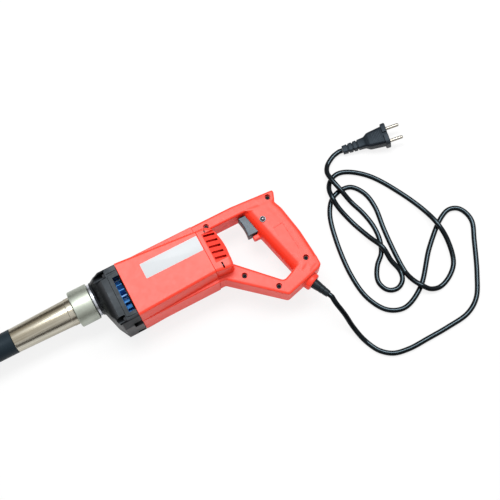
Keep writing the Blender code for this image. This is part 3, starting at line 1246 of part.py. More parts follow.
def hose_and_head():
    route = hose_points()
    points, total = smooth_route(route, HOSE_COUNT)
    print("hose: length %.3f m" % total)
    ahead = (points[-1] - points[-2]).normalized()
    end = points[-1]
    hose = tube("rubber_hose", points, HOSE_RADIUS, "rubber", roundness=3)
    back = Vector((1, 0, 0))
    longer = [points[0] + back * 5 * MM, *points, end + ahead * 5 * MM]
    cut(hose, tube("hose_bore", longer, HOSE_BORE, roundness=2))
    smooth(settle(hose), 60)
    start = points[0] + back * CORE_REACH
    core_line = [start, *points, end + Vector((1, 0, 0)) * CORE_REACH]
    tube("flexible_core", core_line, CORE_RADIUS, "dark_steel", roundness=2)

    place = Matrix.Translation(end) @ Matrix.Rotation(math.radians(90), 4, "Y")
    bore, outside, width = HEAD_BEARING
    ferrule_start = GAP
    ferrule_end = ferrule_start + HEAD_FERRULE_LENGTH
    neck = ferrule_end + 12 * MM
    core_hole = HOSE_BORE - 1 * MM
    outline = [
        (neck, HEAD_BORE - GAP), (ferrule_end, HEAD_BORE - GAP), (ferrule_end, HEAD_RADIUS),
        (ferrule_start + 20 * MM, HEAD_RADIUS), (ferrule_start, HOSE_RADIUS),
        (ferrule_start, core_hole), (neck, core_hole),
    ]
    turned("head_ferrule", outline, place, "plated_steel", MEDIUM, ring=True)
    tube_start = ferrule_end + GAP
    tube_end = tube_start + HEAD_TUBE_LENGTH
    sleeve("head_tube", tube_start, tube_end, HEAD_RADIUS, HEAD_BORE, place, "plated_steel", HEAD_SIDES)
    tip_start = tube_end + GAP
    tip_end = tip_start + HEAD_TIP_LENGTH
    outline = [(tip_end, 0)]
    for step in range(HEAD_NOSE_STEPS + 1):
        turn = math.pi / 2 * step / HEAD_NOSE_STEPS
        share = HEAD_NOSE_FLAT + (1 - HEAD_NOSE_FLAT) * math.sin(turn)
        outline.append((tip_end - HEAD_NOSE * (1 - math.cos(turn)), HEAD_RADIUS * share))
    outline += [
        (tip_start, HEAD_RADIUS), (tip_start, HEAD_BORE - GAP), (tip_start - HEAD_TIP_PLUG, HEAD_BORE - GAP),
        (tip_start - HEAD_TIP_PLUG, 0),
    ]
    turned("head_tip", outline, place, "plated_steel", HEAD_SIDES)
    first = neck + GAP
    second = first + width + HEAD_BEARING_SPACE
    for name, x in (("head_bearing_rear", first), ("head_bearing_front", second)):
        sleeve(name, x, x + width, outside, bore, place, "plated_steel", COARSE)
    rod_start = second + width + 2 * MM
    rod_end = tip_start - HEAD_TIP_PLUG - 2 * MM
    shaft_start = CORE_REACH + GAP
    outline = [
        (rod_end, 0), (rod_end, ROTOR_END_RADIUS - 2 * MM), (rod_end - 12 * MM, ROTOR_END_RADIUS),
        (rod_end - 30 * MM, ROTOR_ROD_RADIUS), (rod_start, ROTOR_ROD_RADIUS), (rod_start, ROTOR_SHAFT_RADIUS),
        (shaft_start, ROTOR_SHAFT_RADIUS), (shaft_start, 0),
    ]
    turned("pendulum_rotor", outline, place, "dark_steel", COARSE)


def main():
    clear_scene()
    motor_housing()
    gear_case()
    case_screws()
    hose_coupling()
    spindle_group()
    gear_plate()
    fan()
    armature()
    stator()
    brushes()
    handle_shells()
    trigger_group()
    boot_and_lead()
    mains_cord()
    plug()
    hose_and_head()


main()
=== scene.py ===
import json
from math import atan2, copysign, cos, pi, radians, sin, tan, tau

import bmesh
import bpy
from mathutils import Matrix, Vector


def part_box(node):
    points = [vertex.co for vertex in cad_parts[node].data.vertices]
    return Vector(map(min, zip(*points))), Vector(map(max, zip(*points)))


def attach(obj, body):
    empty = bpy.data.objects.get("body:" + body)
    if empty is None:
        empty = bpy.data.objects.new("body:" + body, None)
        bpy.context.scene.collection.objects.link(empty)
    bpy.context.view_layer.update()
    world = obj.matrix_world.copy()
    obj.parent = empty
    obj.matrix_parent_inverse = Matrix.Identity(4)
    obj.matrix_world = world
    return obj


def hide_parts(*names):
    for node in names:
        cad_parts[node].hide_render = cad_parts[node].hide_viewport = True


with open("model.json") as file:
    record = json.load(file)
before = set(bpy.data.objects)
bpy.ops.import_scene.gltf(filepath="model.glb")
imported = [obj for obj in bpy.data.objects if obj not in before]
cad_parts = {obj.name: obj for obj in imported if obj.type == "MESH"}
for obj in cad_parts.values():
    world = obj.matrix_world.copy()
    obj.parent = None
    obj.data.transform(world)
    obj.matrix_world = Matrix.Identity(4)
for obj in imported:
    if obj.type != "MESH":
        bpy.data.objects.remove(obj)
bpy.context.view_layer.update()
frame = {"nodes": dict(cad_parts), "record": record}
cadNodes = frame["nodes"]
mm = 0.001


# nodes, objects and turns

def feed(tree, node, inputs):  # links sockets and sets plain values
    for key, value in inputs.items():
        for each in value if isinstance(value, list) else [value]:
            if isinstance(each, bpy.types.NodeSocket):
                tree.links.new(each, node.inputs[key])
            else:
                node.inputs[key].default_value = each


def addNode(tree, kind, inputs=None, out=0, **settings):
    node = tree.nodes.new(kind)
    for key, value in settings.items():
        setattr(node, key, value)
    feed(tree, node, inputs or {})
    return node.outputs[out] if len(node.outputs) else node


def calc(tree, operation, *values):
    return addNode(tree, "ShaderNodeMath", dict(enumerate(values)), operation=operation)


def addObject(name, data):
    made = bpy.data.objects.new(name, data)
    bpy.context.scene.collection.objects.link(made)
    return made


def turnBy(degrees, axis):
    return Matrix.Rotation(radians(degrees), 4, axis)


# camera, light and floor

cameraSettings = {
    "place": (-0.0418, -0.3237, 1.1852),
    "right": (0.8832, -0.4690, 0.0),
    "up": (0.4509, 0.8490, 0.2756),
    "look": (0.1293, 0.2434, -0.9613),
    "lens": 64.8,
    "sensor": 36.0,
}


def setCamera(settings):
    right, up, look = (Vector(settings[key]) for key in ("right", "up", "look"))
    data = bpy.data.cameras.new("photoCamera")
    data.lens = settings["lens"]
    data.sensor_width = settings["sensor"]
    camera = addObject("photoCamera", data)
    place = Matrix((right, up, -look)).transposed().to_4x4()
    place.translation = Vector(settings["place"])
    camera.matrix_world = place
    bpy.context.scene.camera = camera


lightSettings = {
    "worldStrength": 0.46,
    "lamps": {
        "softBox": {"place": (0.04, 0.36, 1.5), "aim": (0.0, 0.0, 0.0), "size": (0.75, 0.42), "power": 16},
        "sideBox": {"place": (0.82, 0.15, 1.5), "aim": (0.25, -0.1, 0.0), "size": (0.6, 0.6), "power": 8},
        "cordBox": {"place": (0.80, 0.23, 1.5), "aim": (0.33, -0.08, 0.0), "size": (0.7, 0.7), "power": 60},
    },
    "cards": {  # dark boards at the sides, seen in gloss only
        "leftCard": {"place": (0.0, 1.3, 0.4), "size": (2.6, 0.01, 0.7)},
        "rightCard": {"place": (0.0, -1.3, 0.4), "size": (2.6, 0.01, 0.7)},
        "frontCard": {"place": (-1.5, 0.0, 0.5), "size": (0.01, 2.2, 0.9)},
    },
    "cardColour": (0.05, 0.035, 0.025, 1),
    "cardRoughness": 0.9,
    "floorSize": 24.0,
    "floorColour": (0.9, 0.9, 0.9, 1),
    "floorGlow": 0.82,  # share that shows plain white to the camera
    "glossGlow": 0.3,  # the same in gloss and glass
}


def setLight(settings):
    scene = bpy.context.scene
    scene.view_settings.view_transform = "Standard"
    world = bpy.data.worlds.new("studio")
    scene.world = world
    world.use_nodes = True
    tree = world.node_tree
    rays = tree.nodes.new("ShaderNodeLightPath").outputs
    seen = calc(tree, "MAXIMUM", rays["Is Camera Ray"], rays["Is Glossy Ray"])
    seen = calc(tree, "MAXIMUM", seen, rays["Is Transmission Ray"])
    feed(tree, tree.nodes["Background"], {
        "Color": (1, 1, 1, 1), "Strength": spread(tree, seen, settings["worldStrength"], 1, 0, 1)})
    for name, lamp in settings["lamps"].items():
        data = bpy.data.lights.new(name, "AREA")
        data.energy = lamp["power"]
        data.shape = "RECTANGLE"
        data.size, data.size_y = lamp["size"]
        made = addObject(name, data)
        made.location = lamp["place"]
        aim = Vector(lamp["aim"]) - Vector(lamp["place"])
        made.rotation_euler = aim.to_track_quat("-Z", "Y").to_euler()


def standCards(settings):
    finish, tree, shader = newFinish("darkCard")
    feed(tree, shader, {"Base Color": settings["cardColour"], "Roughness": settings["cardRoughness"]})
    for name, card in settings["cards"].items():
        middle, half = Vector(card["place"]), Vector(card["size"]) / 2
        board = makeMesh(name, boxForm(middle - half, middle + half), finish)
        for ray in ("camera", "diffuse", "transmission", "shadow"):
            setattr(board, "visible_" + ray, False)


def lightAlone(lampName, piece):  # a lamp that shows in the gloss of one piece alone
    lamp = bpy.data.objects[lampName]
    lamp.visible_diffuse = False
    group = bpy.data.collections.new(lampName + "Reach")
    group.objects.link(piece)
    lamp.light_linking.receiver_collection = group


def layFloor(settings):
    form = bmesh.new()
    bmesh.ops.create_grid(form, x_segments=1, y_segments=1, size=settings["floorSize"] / 2)
    floor = makeMesh("floor", form, floorFinish(settings))


def floorFinish(settings):
    material, tree, _ = newFinish("paleFloor")
    tree.nodes.clear()
    rays = tree.nodes.new("ShaderNodeLightPath").outputs
    gloss = calc(tree, "MAXIMUM", rays["Is Glossy Ray"], rays["Is Transmission Ray"])
    glow = calc(tree, "MAXIMUM", calc(tree, "MULTIPLY", rays["Is Camera Ray"], settings["floorGlow"]),
                calc(tree, "MULTIPLY", gloss, settings["glossGlow"]))
    matte = addNode(tree, "ShaderNodeBsdfDiffuse", {"Color": settings["floorColour"]})
    light = addNode(tree, "ShaderNodeEmission")
    mixed = addNode(tree, "ShaderNodeMixShader", {0: glow, 1: matte, 2: light})
    addNode(tree, "ShaderNodeOutputMaterial", {"Surface": mixed})
    return material


# mesh helpers

def makeMesh(name, form, finish, angle=30):
    mesh = bpy.data.meshes.new(name)
    form.to_mesh(mesh)
    form.free()
    mesh.materials.append(finish)
    piece = addObject(name, mesh)
    shade(piece, angle)
    return piece


def shade(piece, angle=30):
    piece.data.shade_smooth()
    piece.data.set_sharp_from_angle(angle=radians(angle))


def bake(piece):  # turns live modifiers into a plain mesh
    graph = bpy.context.evaluated_depsgraph_get()
    mesh = bpy.data.meshes.new_from_object(piece.evaluated_get(graph), depsgraph=graph)
    piece.modifiers.clear()
    piece.data = mesh


def settle(piece):  # the same, with the finish that it had before
    finish = piece.data.materials[0]
    bake(piece)
    piece.data.materials.clear()
    piece.data.materials.append(finish)
    shade(piece)
    return piece


def flatten(piece, angle=40):  # large faces keep their own normals
    shade(piece, angle)
    piece.modifiers.new("weigh", "WEIGHTED_NORMAL").keep_sharp = True
    bake(piece)
    return piece


def combine(piece, form, operation="DIFFERENCE", finish=None):  # new faces take the other form's finish
    other = makeMesh("other", form, finish or piece.data.materials[0])
    change = piece.modifiers.new("combine", "BOOLEAN")
    change.operation = operation
    change.solver = "EXACT"
    change.material_mode = "TRANSFER"
    change.object = other
    bake(piece)
    shade(piece)
    bpy.data.objects.remove(other, do_unlink=True)


def inMillimetres(corners):
    return [tuple(value * mm for value in corner) for corner in corners]


def rounded(corners, steps):  # corners are (x, y, radius), the loop is closed
    longest = 0.46  # share of a side that a corner may take
    least = 0.01 * mm
    points = []
    count = len(corners)
    for i, (x, y, radius) in enumerate(corners):
        here = Vector((x, y))
        back = Vector(corners[i - 1][:2]) - here
        ahead = Vector(corners[(i + 1) % count][:2]) - here
        half = back.angle(ahead) / 2
        run = min(radius / tan(half), longest * back.length, longest * ahead.length)
        if run < least:
            points.append(here)
            continue
        radius = run * tan(half)
        back.normalize()
        ahead.normalize()
        centre = here + (back + ahead).normalized() * (radius / sin(half))
        first = here + back * run - centre
        sweep = first.angle_signed(here + ahead * run - centre)
        for k in range(steps + 1):
            points.append(centre + Matrix.Rotation(-sweep * k / steps, 2) @ first)
    return points


def offsetLoop(points, distance):  # a closed loop drawn in by a distance
    moved = []
    for i, point in enumerate(points):
        way = points[(i + 1) % len(points)] - points[i - 1]
        way.normalize()
        moved.append(point + Vector((-way.y, way.x)) * distance)
    return moved


def loftForm(rings):
    form = bmesh.new()
    rows = [[form.verts.new(point) for point in ring] for ring in rings]
    for row, following in zip(rows, rows[1:]):
        for i in range(len(row)):
            j = (i + 1) % len(row)
            form.faces.new((row[i], row[j], following[j], following[i]))
    form.faces.new(list(reversed(rows[0])))
    form.faces.new(rows[-1])
    bmesh.ops.recalc_face_normals(form, faces=form.faces)
    return form


def turnedForm(profile, place, sides):  # closed profile of (along, radius), turned about local X
    form = bmesh.new()
    rows = []
    for i in range(sides):
        angle = tau * i / sides
        rows.append([form.verts.new((along, radius * cos(angle), radius * sin(angle)))
                     for along, radius in profile])
    count = len(profile)
    nearAxis = 1e-7
    for i in range(sides):
        row, following = rows[i], rows[(i + 1) % sides]
        for k in range(count):
            n = (k + 1) % count
            if profile[k][1] < nearAxis and profile[n][1] < nearAxis:
                continue
            form.faces.new((row[k], row[n], following[n], following[k]))
    bmesh.ops.remove_doubles(form, verts=form.verts, dist=1e-6)
    bmesh.ops.recalc_face_normals(form, faces=form.faces)
    bmesh.ops.transform(form, matrix=place, verts=form.verts)
    return form


def turned(name, corners, place, finish, sides=96):  # corners in millimetres
    profile = rounded(inMillimetres(corners), steps=4)
    return makeMesh(name, turnedForm(profile, place, sides), finish, angle=40)


def rodForm(place, radius, first, last):  # cylinder along local X
    return turnedForm([(first, 0), (last, 0), (last, radius), (first, radius)], place, sides=40)


def boxForm(low, high, place=None):
    form = bmesh.new()
    bmesh.ops.create_cube(form, size=1.0)
    low, high = Vector(low), Vector(high)
    bmesh.ops.scale(form, vec=high - low, verts=form.verts)
    bmesh.ops.translate(form, vec=(low + high) / 2, verts=form.verts)
    if place:
        bmesh.ops.transform(form, matrix=place, verts=form.verts)
    return form


def merged(forms):  # several bodies in one form
    whole = bmesh.new()
    for form in forms:
        mesh = bpy.data.meshes.new("passing")
        form.to_mesh(mesh)
        form.free()
        whole.from_mesh(mesh)
        bpy.data.meshes.remove(mesh)
    return whole


def plateForm(loop, low, high, edge=0.0, fine=5):  # outline with thickness along Z and rounded rims
    rings = []
    if edge:
        for k in range(fine + 1):
            angle = pi / 2 * k / fine
            rings.append((edge * (1 - sin(angle)), low + edge * (1 - cos(angle))))
        rings += [(inward, high + low - z) for inward, z in reversed(rings)]
    else:
        rings = [(0.0, low), (0.0, high)]
    return loftForm([[Vector((p.x, p.y, z)) for p in offsetLoop(loop, inward)] for inward, z in rings])


def smoothRoute(points, each):
    ends = [points[0] * 2 - points[1], *points, points[-1] * 2 - points[-2]]
    fine = []
    for p0, p1, p2, p3 in zip(ends, ends[1:], ends[2:], ends[3:]):
        t1 = (p1 - p0).length ** 0.5
        t2 = t1 + (p2 - p1).length ** 0.5
        t3 = t2 + (p3 - p2).length ** 0.5
        for k in range(each):
            t = t1 + (t2 - t1) * k / each
            a1 = p0.lerp(p1, t / t1)
            a2 = p1.lerp(p2, (t - t1) / (t2 - t1))
            a3 = p2.lerp(p3, (t - t2) / (t3 - t2))
            b1 = a1.lerp(a2, t / t2)
            b2 = a2.lerp(a3, (t - t1) / (t3 - t1))
            fine.append(b1.lerp(b2, (t - t1) / (t2 - t1)))
    fine.append(points[-1])
    return fine


def layTube(name, points, settings, finish):  # gives the piece, its start and its length
    curve = bpy.data.curves.new(name, "CURVE")
    curve.dimensions = "3D"
    curve.bevel_depth = settings["radius"]
    curve.bevel_resolution = settings["roundness"]
    curve.use_fill_caps = True
    spline = curve.splines.new("POLY")
    spline.points.add(len(points) - 1)
    for point, place in zip(spline.points, points):
        point.co = (*place, 1)
    curve.materials.append(finish)
    length = sum((b - a).length for a, b in zip(points, points[1:]))
    return addObject(name, curve), points[0], length


# finishes

finishNoise = {  # scale, detail and roughness of each noise
    "mouldCloud": (26, 4, 0.6), "mouldScuff": (140, 5, 0.65), "castCloud": (40, 4, 0.6),
    "castSand": (900, 4, 0.6), "metalCloud": (35, 4, 0.65), "rubberCloud": (18, 5, 0.65),
    "rubberFine": (220, 4, 0.6),
}
castColours = {"edgeTone": (0.10, 0.105, 0.115), "glint": (0.8, 0.91, 1)}


def newFinish(name):
    material = bpy.data.materials.new(name)
    material.use_nodes = True
    tree = material.node_tree
    return material, tree, tree.nodes["Principled BSDF"]


def coords(tree, stretch=(1, 1, 1)):
    source = addNode(tree, "ShaderNodeTexCoord", out="Object")
    return addNode(tree, "ShaderNodeMapping", {"Vector": source, "Scale": stretch})


def noise(tree, vector, scale, detail, roughness):
    return addNode(tree, "ShaderNodeTexNoise", {
        "Vector": vector, "Scale": scale, "Detail": detail, "Roughness": roughness})


def spread(tree, value, low, high, fromLow=0.3, fromHigh=0.7):
    return addNode(tree, "ShaderNodeMapRange", {
        "Value": value, "From Min": fromLow, "From Max": fromHigh, "To Min": low, "To Max": high})


def tint(tree, factor, first, second):  # inputs 6 and 7 and output 2 are the colours
    first, second = ((*each, 1) if isinstance(each, tuple) else each for each in (first, second))
    return addNode(tree, "ShaderNodeMix", {0: factor, 6: first, 7: second}, 2, data_type="RGBA")


def bump(tree, height, strength, depth):
    return addNode(tree, "ShaderNodeBump", {"Height": height, "Strength": strength, "Distance": depth * mm})


def edgeMask(tree, low, high):
    return spread(tree, addNode(tree, "ShaderNodeNewGeometry", out="Pointiness"), 0, 1, low, high)


def moulded(name, colour, edgeTone, roughness, grain=1400, grainDepth=0.012, specular=0.5, glint=(1, 1, 1)):
    material, tree, shader = newFinish(name)
    here = coords(tree)
    cloud, scuff = (noise(tree, here, *finishNoise[key]) for key in ("mouldCloud", "mouldScuff"))
    base = tint(tree, spread(tree, cloud, 0, 1, 0.35, 0.7), colour, tuple(c * 0.96 for c in colour))
    feed(tree, shader, {
        # convex edges, found by pointiness, take the edge tone
        "Base Color": tint(tree, edgeMask(tree, 0.51, 0.60), base, edgeTone),
        "Roughness": spread(tree, scuff, roughness - 0.02, roughness + 0.03),
        "Normal": bump(tree, noise(tree, here, grain, 2, 0.5), 0.25, grainDepth),
        "Specular IOR Level": specular, "Specular Tint": (*glint, 1)})
    return material


def cast(name, colour, roughness, specular=0.3):
    material, tree, shader = newFinish(name)
    here = coords(tree)
    cloud, sand = (noise(tree, here, *finishNoise[key]) for key in ("castCloud", "castSand"))
    base = tint(tree, spread(tree, cloud, 0, 1), colour, tuple(c * 1.3 + 0.001 for c in colour))
    feed(tree, shader, {
        # convex edges, found by pointiness, take the edge tone
        "Base Color": tint(tree, edgeMask(tree, 0.53, 0.66), base, castColours["edgeTone"]),
        "Roughness": spread(tree, cloud, roughness - 0.08, roughness + 0.12),
        "Normal": bump(tree, sand, 0.3, 0.03),
        "Specular IOR Level": specular, "Specular Tint": (*castColours["glint"], 1)})
    return material


def metal(name, colour, darkerTone, roughness, stretch=(1, 1, 1), scale=60, lines=0.2, lineDepth=0.01, clouds=0.5):
    material, tree, shader = newFinish(name)
    cloud = noise(tree, coords(tree), *finishNoise["metalCloud"])
    streak = noise(tree, coords(tree, stretch), scale, 4, 0.6)
    mixed = calc(tree, "MULTIPLY_ADD", cloud, clouds, calc(tree, "MULTIPLY", streak, 1 - clouds))
    feed(tree, shader, {
        "Base Color": tint(tree, spread(tree, mixed, 0, 1, 0.38, 0.62), colour, darkerTone),
        "Metallic": 1.0,
        "Roughness": spread(tree, streak, roughness - 0.04, roughness + 0.05),
        "Normal": bump(tree, streak, lines, lineDepth)})
    return material


def rubber(name, colour, dusty, roughness, grain=700, grainDepth=0.05, specular=0.35, vary=0.08,
           glint=(0.72, 0.87, 1)):
    material, tree, shader = newFinish(name)
    here = coords(tree)
    cloud, fine = (noise(tree, here, *finishNoise[key]) for key in ("rubberCloud", "rubberFine"))
    feed(tree, shader, {
        "Base Color": tint(tree, spread(tree, cloud, 0, 1, 0.4, 0.75), colour, dusty),
        "Roughness": spread(tree, fine, roughness - vary, roughness + vary),
        "Normal": bump(tree, noise(tree, here, grain, 3, 0.55), 0.3, grainDepth),
        "Specular IOR Level": specular, "Specular Tint": (*glint, 1)})
    return material


redPlastic = moulded("redPlastic", (0.90, 0.040, 0.014), (0.90, 0.065, 0.035), 0.42)
# a deeper red, less glossy copy of the red plastic for the vent panel: painted shade
ventPlastic = moulded("ventPlastic", (0.86, 0.028, 0.009), (0.88, 0.05, 0.024), 0.44, specular=0.4)
# darker red inside the vent slots: painted shade in the recesses
slotPlastic = moulded("slotPlastic", (0.66, 0.016, 0.006), (0.5, 0.025, 0.015), 0.5, specular=0.25)
blackCasting = cast("blackCasting", (0.0026, 0.003, 0.0037), 0.36, 0.2)
bluePlastic = moulded("bluePlastic", (0.04, 0.25, 0.68), (0.07, 0.31, 0.74), 0.38, specular=0.4)
satinSteel = metal("satinSteel", (0.45, 0.485, 0.43), (0.36, 0.385, 0.33), 0.47, (0.4, 1, 1), 90, 0.1, 0.003)
# lengthwise dark brown streaks: drawing marks and painted reflection bands
drawnSteel = metal("drawnSteel", (0.60, 0.58, 0.50), (0.27, 0.235, 0.17), 0.28, (0.012, 1, 1), 95, 0.05,
                   0.003, 0.08)
headSteel = metal("headSteel", (0.46, 0.46, 0.44), (0.33, 0.325, 0.30), 0.40, (0.05, 1, 1), 90, 0.1, 0.005)
paleAluminium = metal("paleAluminium", (0.56, 0.58, 0.63), (0.44, 0.46, 0.50), 0.34, (1, 0.05, 0.05), 300)
darkSteel = metal("darkSteel", (0.10, 0.10, 0.105), (0.06, 0.06, 0.063), 0.36)
blackOxide = cast("blackOxide", (0.006, 0.006, 0.007), 0.36, 0.10)
clipSteel = metal("clipSteel", (0.06, 0.06, 0.062), (0.035, 0.035, 0.036), 0.4)
brightNickel = metal("brightNickel", (0.42, 0.40, 0.36), (0.34, 0.32, 0.28), 0.3)
chromePlate = metal("chromePlate", (0.22, 0.225, 0.24), (0.15, 0.153, 0.16), 0.36)
darkChrome = metal("darkChrome", (0.12, 0.125, 0.14), (0.07, 0.075, 0.08), 0.22)
copperWire = metal("copperWire", (0.72, 0.32, 0.16), (0.50, 0.20, 0.09), 0.36)
plainBrass = metal("plainBrass", (0.75, 0.58, 0.25), (0.56, 0.42, 0.17), 0.33)
pressedCarbon = cast("pressedCarbon", (0.03, 0.03, 0.031), 0.7)
hoseRubber = rubber("hoseRubber", (0.010, 0.017, 0.023), (0.018, 0.027, 0.034), 0.50, specular=0.16)
cordRubber = rubber("cordRubber", (0.002, 0.0025, 0.003), (0.004, 0.0045, 0.0055), 0.22, 260, 0.003,
                    0.14, 0.02, (0.62, 0.86, 1))
bootRubber = rubber("bootRubber", (0.003, 0.004, 0.005), (0.006, 0.007, 0.009), 0.32, 400, 0.006, 0.3,
                    0.03, (0.74, 0.9, 1))
blackPlastic = moulded("blackPlastic", (0.007, 0.008, 0.010), (0.03, 0.033, 0.04), 0.40, specular=0.2)
plugPlastic = moulded("plugPlastic", (0.005, 0.007, 0.010), (0.02, 0.024, 0.03), 0.42, 900, 0.006,
                      0.2, (0.66, 0.84, 1))
triggerPlastic = moulded("triggerPlastic", (0.012, 0.016, 0.022), (0.03, 0.034, 0.04), 0.38, 900, 0.005,
                         0.52, (0.78, 0.9, 1))
greyPlastic = moulded("greyPlastic", (0.11, 0.12, 0.135), (0.2, 0.21, 0.23), 0.40)
labelFoil = moulded("labelFoil", (0.57, 0.60, 0.62), (0.57, 0.59, 0.61), 0.45, 600, 0.01, 0.3)
print("finishes made")

cadFinishes = {
    "red_plastic": redPlastic, "black_casting": blackCasting, "blue_plastic": bluePlastic,
    "aluminium": paleAluminium, "plated_steel": satinSteel, "dark_steel": darkSteel, "copper": copperWire,
    "brass": plainBrass, "carbon": pressedCarbon, "rubber": hoseRubber, "black_plastic": blackPlastic,
    "grey_plastic": greyPlastic, "chrome": chromePlate,
}
nodeFinishes = {"head_tube": headSteel, "head_tip": headSteel}  # where the slot's own finish isn't right


def dressCadNodes():
    for part in frame["record"]["subparts"]:
        materials = cadNodes[part["node"]].data.materials
        finish = nodeFinishes.get(part["node"], cadFinishes[part["material_slot"]])
        if not materials:
            materials.append(finish)
        for k in range(len(materials)):
            materials[k] = finish


# mains cord and hose

cordSettings = {
    "radius": 3.5 * mm,
    "lie": 3.8 * mm,
    "lead": 5 * mm,
    "start": Vector((0.164200, -0.113800, 0.0445)),
    "startTurn": -65.8,
    "startReach": 24.3 * mm,
    "plug": Vector((0.3002, 0.0424, 0.0064)),
    "plugTurn": -11.5,
    "plugRise": 10.6,
    "plugGap": 0.3,
    "steps": 10,
    "roundness": 5,
    "route": [  # x, y and, where it lies on another turn, its lift
        (177, -148, 37.5), (182.5, -166, 24), (187, -185, 8.5), (193, -206, 0.6), (203, -226.5),
        (218, -238.8), (240, -243.5), (268, -243.4), (300, -242.6), (333, -239), (354, -226.8),
        (373, -198.6), (395, -156), (406.4, -132), (405.6, -117.5), (399, -106.4), (387, -102),
        (371, -107.6), (335.3, -136.4), (295.4, -178.8), (263, -192.9), (241, -184.8), (225.5, -159),
        (221.2, -122.3), (227.8, -67.2), (239, -30), (252.2, -13.3), (268, -7.6), (284, -10.2), (296, -27),
        (299, -50), (293.5, -85), (289.5, -122), (288.5, -150), (291, -167, 6), (297, -178.8, 8),
        (306, -187.5, 3.5), (320, -190.5), (338, -184), (353.5, -169.5), (361.5, -140, 3.5),
        (360.3, -114.8, 8), (355.5, -88, 3.5), (339, -47), (314.3, -7.4), (290, 12.2), (275.5, 15.8),
        (263.2, 11.2), (254.2, 0, 5), (251.6, -13.5, 8), (252.6, -28, 4.5), (260, -56), (269.5, -86, 3.5),
        (277, -108, 8.2), (278.8, -128, 3.5), (283.1, -146.1), (279.5, -158.4), (270.5, -164.8),
        (260.9, -164.6), (253.3, -159.1), (249.4, -147.8), (251.2, -138.7), (259.8, -125), (273, -112.5),
        (280.5, -96), (283, -76), (280, -52), (272.5, -29.5, 2.5), (267, -7.5, 8), (263.6, 11, 8),
        (264, 23, 5), (270.5, 33, 1.8), (284, 41, 1.8),
    ],
}


def wayOf(turn, rise=0.0):  # unit direction
    turn, rise = radians(turn), radians(rise)
    return Vector((cos(turn) * cos(rise), sin(turn) * cos(rise), sin(rise)))


def layCord(settings):
    startWay, plugWay = wayOf(settings["startTurn"]), wayOf(settings["plugTurn"], settings["plugRise"])
    start = settings["start"] + startWay * settings["startReach"]
    end = settings["plug"] - plugWay * settings["plugGap"] * mm
    route = [start + startWay * settings["lead"]]
    route += [Vector((x * mm, y * mm, settings["lie"] + sum(lift) * mm)) for x, y, *lift in settings["route"]]
    route.append(end - plugWay * settings["lead"])
    points = [start, *smoothRoute(route, settings["steps"]), end]
    for point in points:
        point.z = max(point.z, settings["lie"])
    return layTube("mainsCord", points, settings, cordRubber)


hoseSettings = {
    "radius": 16.5 * mm,
    "lie": 16.8 * mm,
    "startX": -212.1 * mm,
    "axis": 44.5 * mm,
    "steps": 14,
    "roundness": 10,
    "route": [  # x and y from the start, and the lift off the floor
        (-40, 0, None), (-95, 1, 22), (-150, 3, 11), (-205, 4, 3), (-260, 5, 0), (-315, 8, 0),
        (-372, 22, 0), (-422, 52, 0), (-457, 98, 0), (-470, 156, 0), (-459, 214, 0), (-424, 264, 0),
        (-374, 296, 0), (-315, 311, 0.5), (-255, 314, 1), (-215, 314, 1),
    ],
}


def layHose(settings):
    start = Vector((settings["startX"], 0, settings["axis"]))
    route = [start]
    for x, y, lift in settings["route"]:
        height = settings["axis"] if lift is None else settings["lie"] + lift * mm
        route.append(Vector((settings["startX"] + x * mm, y * mm, height)))
    points = smoothRoute(route, settings["steps"])
    return layTube("rubberHose", points, settings, hoseRubber)


# motor barrel

barrelSettings = {
    "depth": 89 * mm, "frontTop": 19 * mm, "frontLow": -56 * mm, "rearTop": 9.5 * mm, "rearLow": -51.5 * mm,
    "lean": 3.5 * mm, "keelTop": 24.2 * mm, "keelLow": -60 * mm, "keelDepth": 42 * mm,
    "edge": 4 * mm, "keelEdge": 1.3 * mm, "innerEdge": 1.6 * mm, "rim": 0.6 * mm, "bore": 36 * mm,
    "boreOver": 5 * mm, "rings": 9,
}
frontX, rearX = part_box("motor_housing")[0][0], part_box("motor_housing")[1][0]
axisZ = 44.5 * mm
motorY = -19.5 * mm
motorPlace = Matrix.Translation((0, motorY, axisZ))
spindlePlace = Matrix.Translation((0, 0, axisZ))


def barrelRing(settings, share, x, inward):
    top = settings["frontTop"] + (settings["rearTop"] - settings["frontTop"]) * share
    low = settings["frontLow"] + (settings["rearLow"] - settings["frontLow"]) * share
    half, keel = settings["depth"] / 2, settings["keelDepth"] / 2
    edge, keelEdge, inner = settings["edge"], settings["keelEdge"], settings["innerEdge"]
    keelTop, keelLow, lean = settings["keelTop"], settings["keelLow"], settings["lean"]
    upper = [(top, half, edge), (top + lean, keel, inner), (keelTop, keel, keelEdge)]
    lower = [(keelLow, keel, keelEdge), (low - lean, keel, inner), (low, half, edge)]
    corners = upper + [(y, -z, r) for y, z, r in reversed(upper)]
    corners += [(y, -z, r) for y, z, r in reversed(lower)] + lower
    loop = offsetLoop(rounded(corners, steps=5), -inward)
    return [Vector((x, p.x, axisZ + p.y)) for p in loop]


def makeBarrel(settings):
    rim, count = settings["rim"], settings["rings"]
    rings = [barrelRing(settings, 0, frontX, rim)]
    for k in range(count):
        share = k / (count - 1)
        rings.append(barrelRing(settings, share, frontX + rim + (rearX - frontX - 2 * rim) * share, 0))
    rings.append(barrelRing(settings, 1, rearX, rim))
    barrel = makeMesh("motorBarrel", loftForm(rings), redPlastic)
    first, last, radius = frontX - settings["boreOver"], rearX + settings["boreOver"], settings["bore"]
    profile = [(first, 0), (first, radius), (last, radius), (last, 0)]
    combine(barrel, turnedForm(profile, motorPlace, sides=64))
    return flatten(barrel)


# handle

gripRear = [
    (118, -101, 0), (126.5, -96.8, 0), (127.2, -79.4, 60), (125, -45.4, 80), (118.6, -6, 30), (114.5, 4.6, 0),
    (113, 20.2, 0),
]

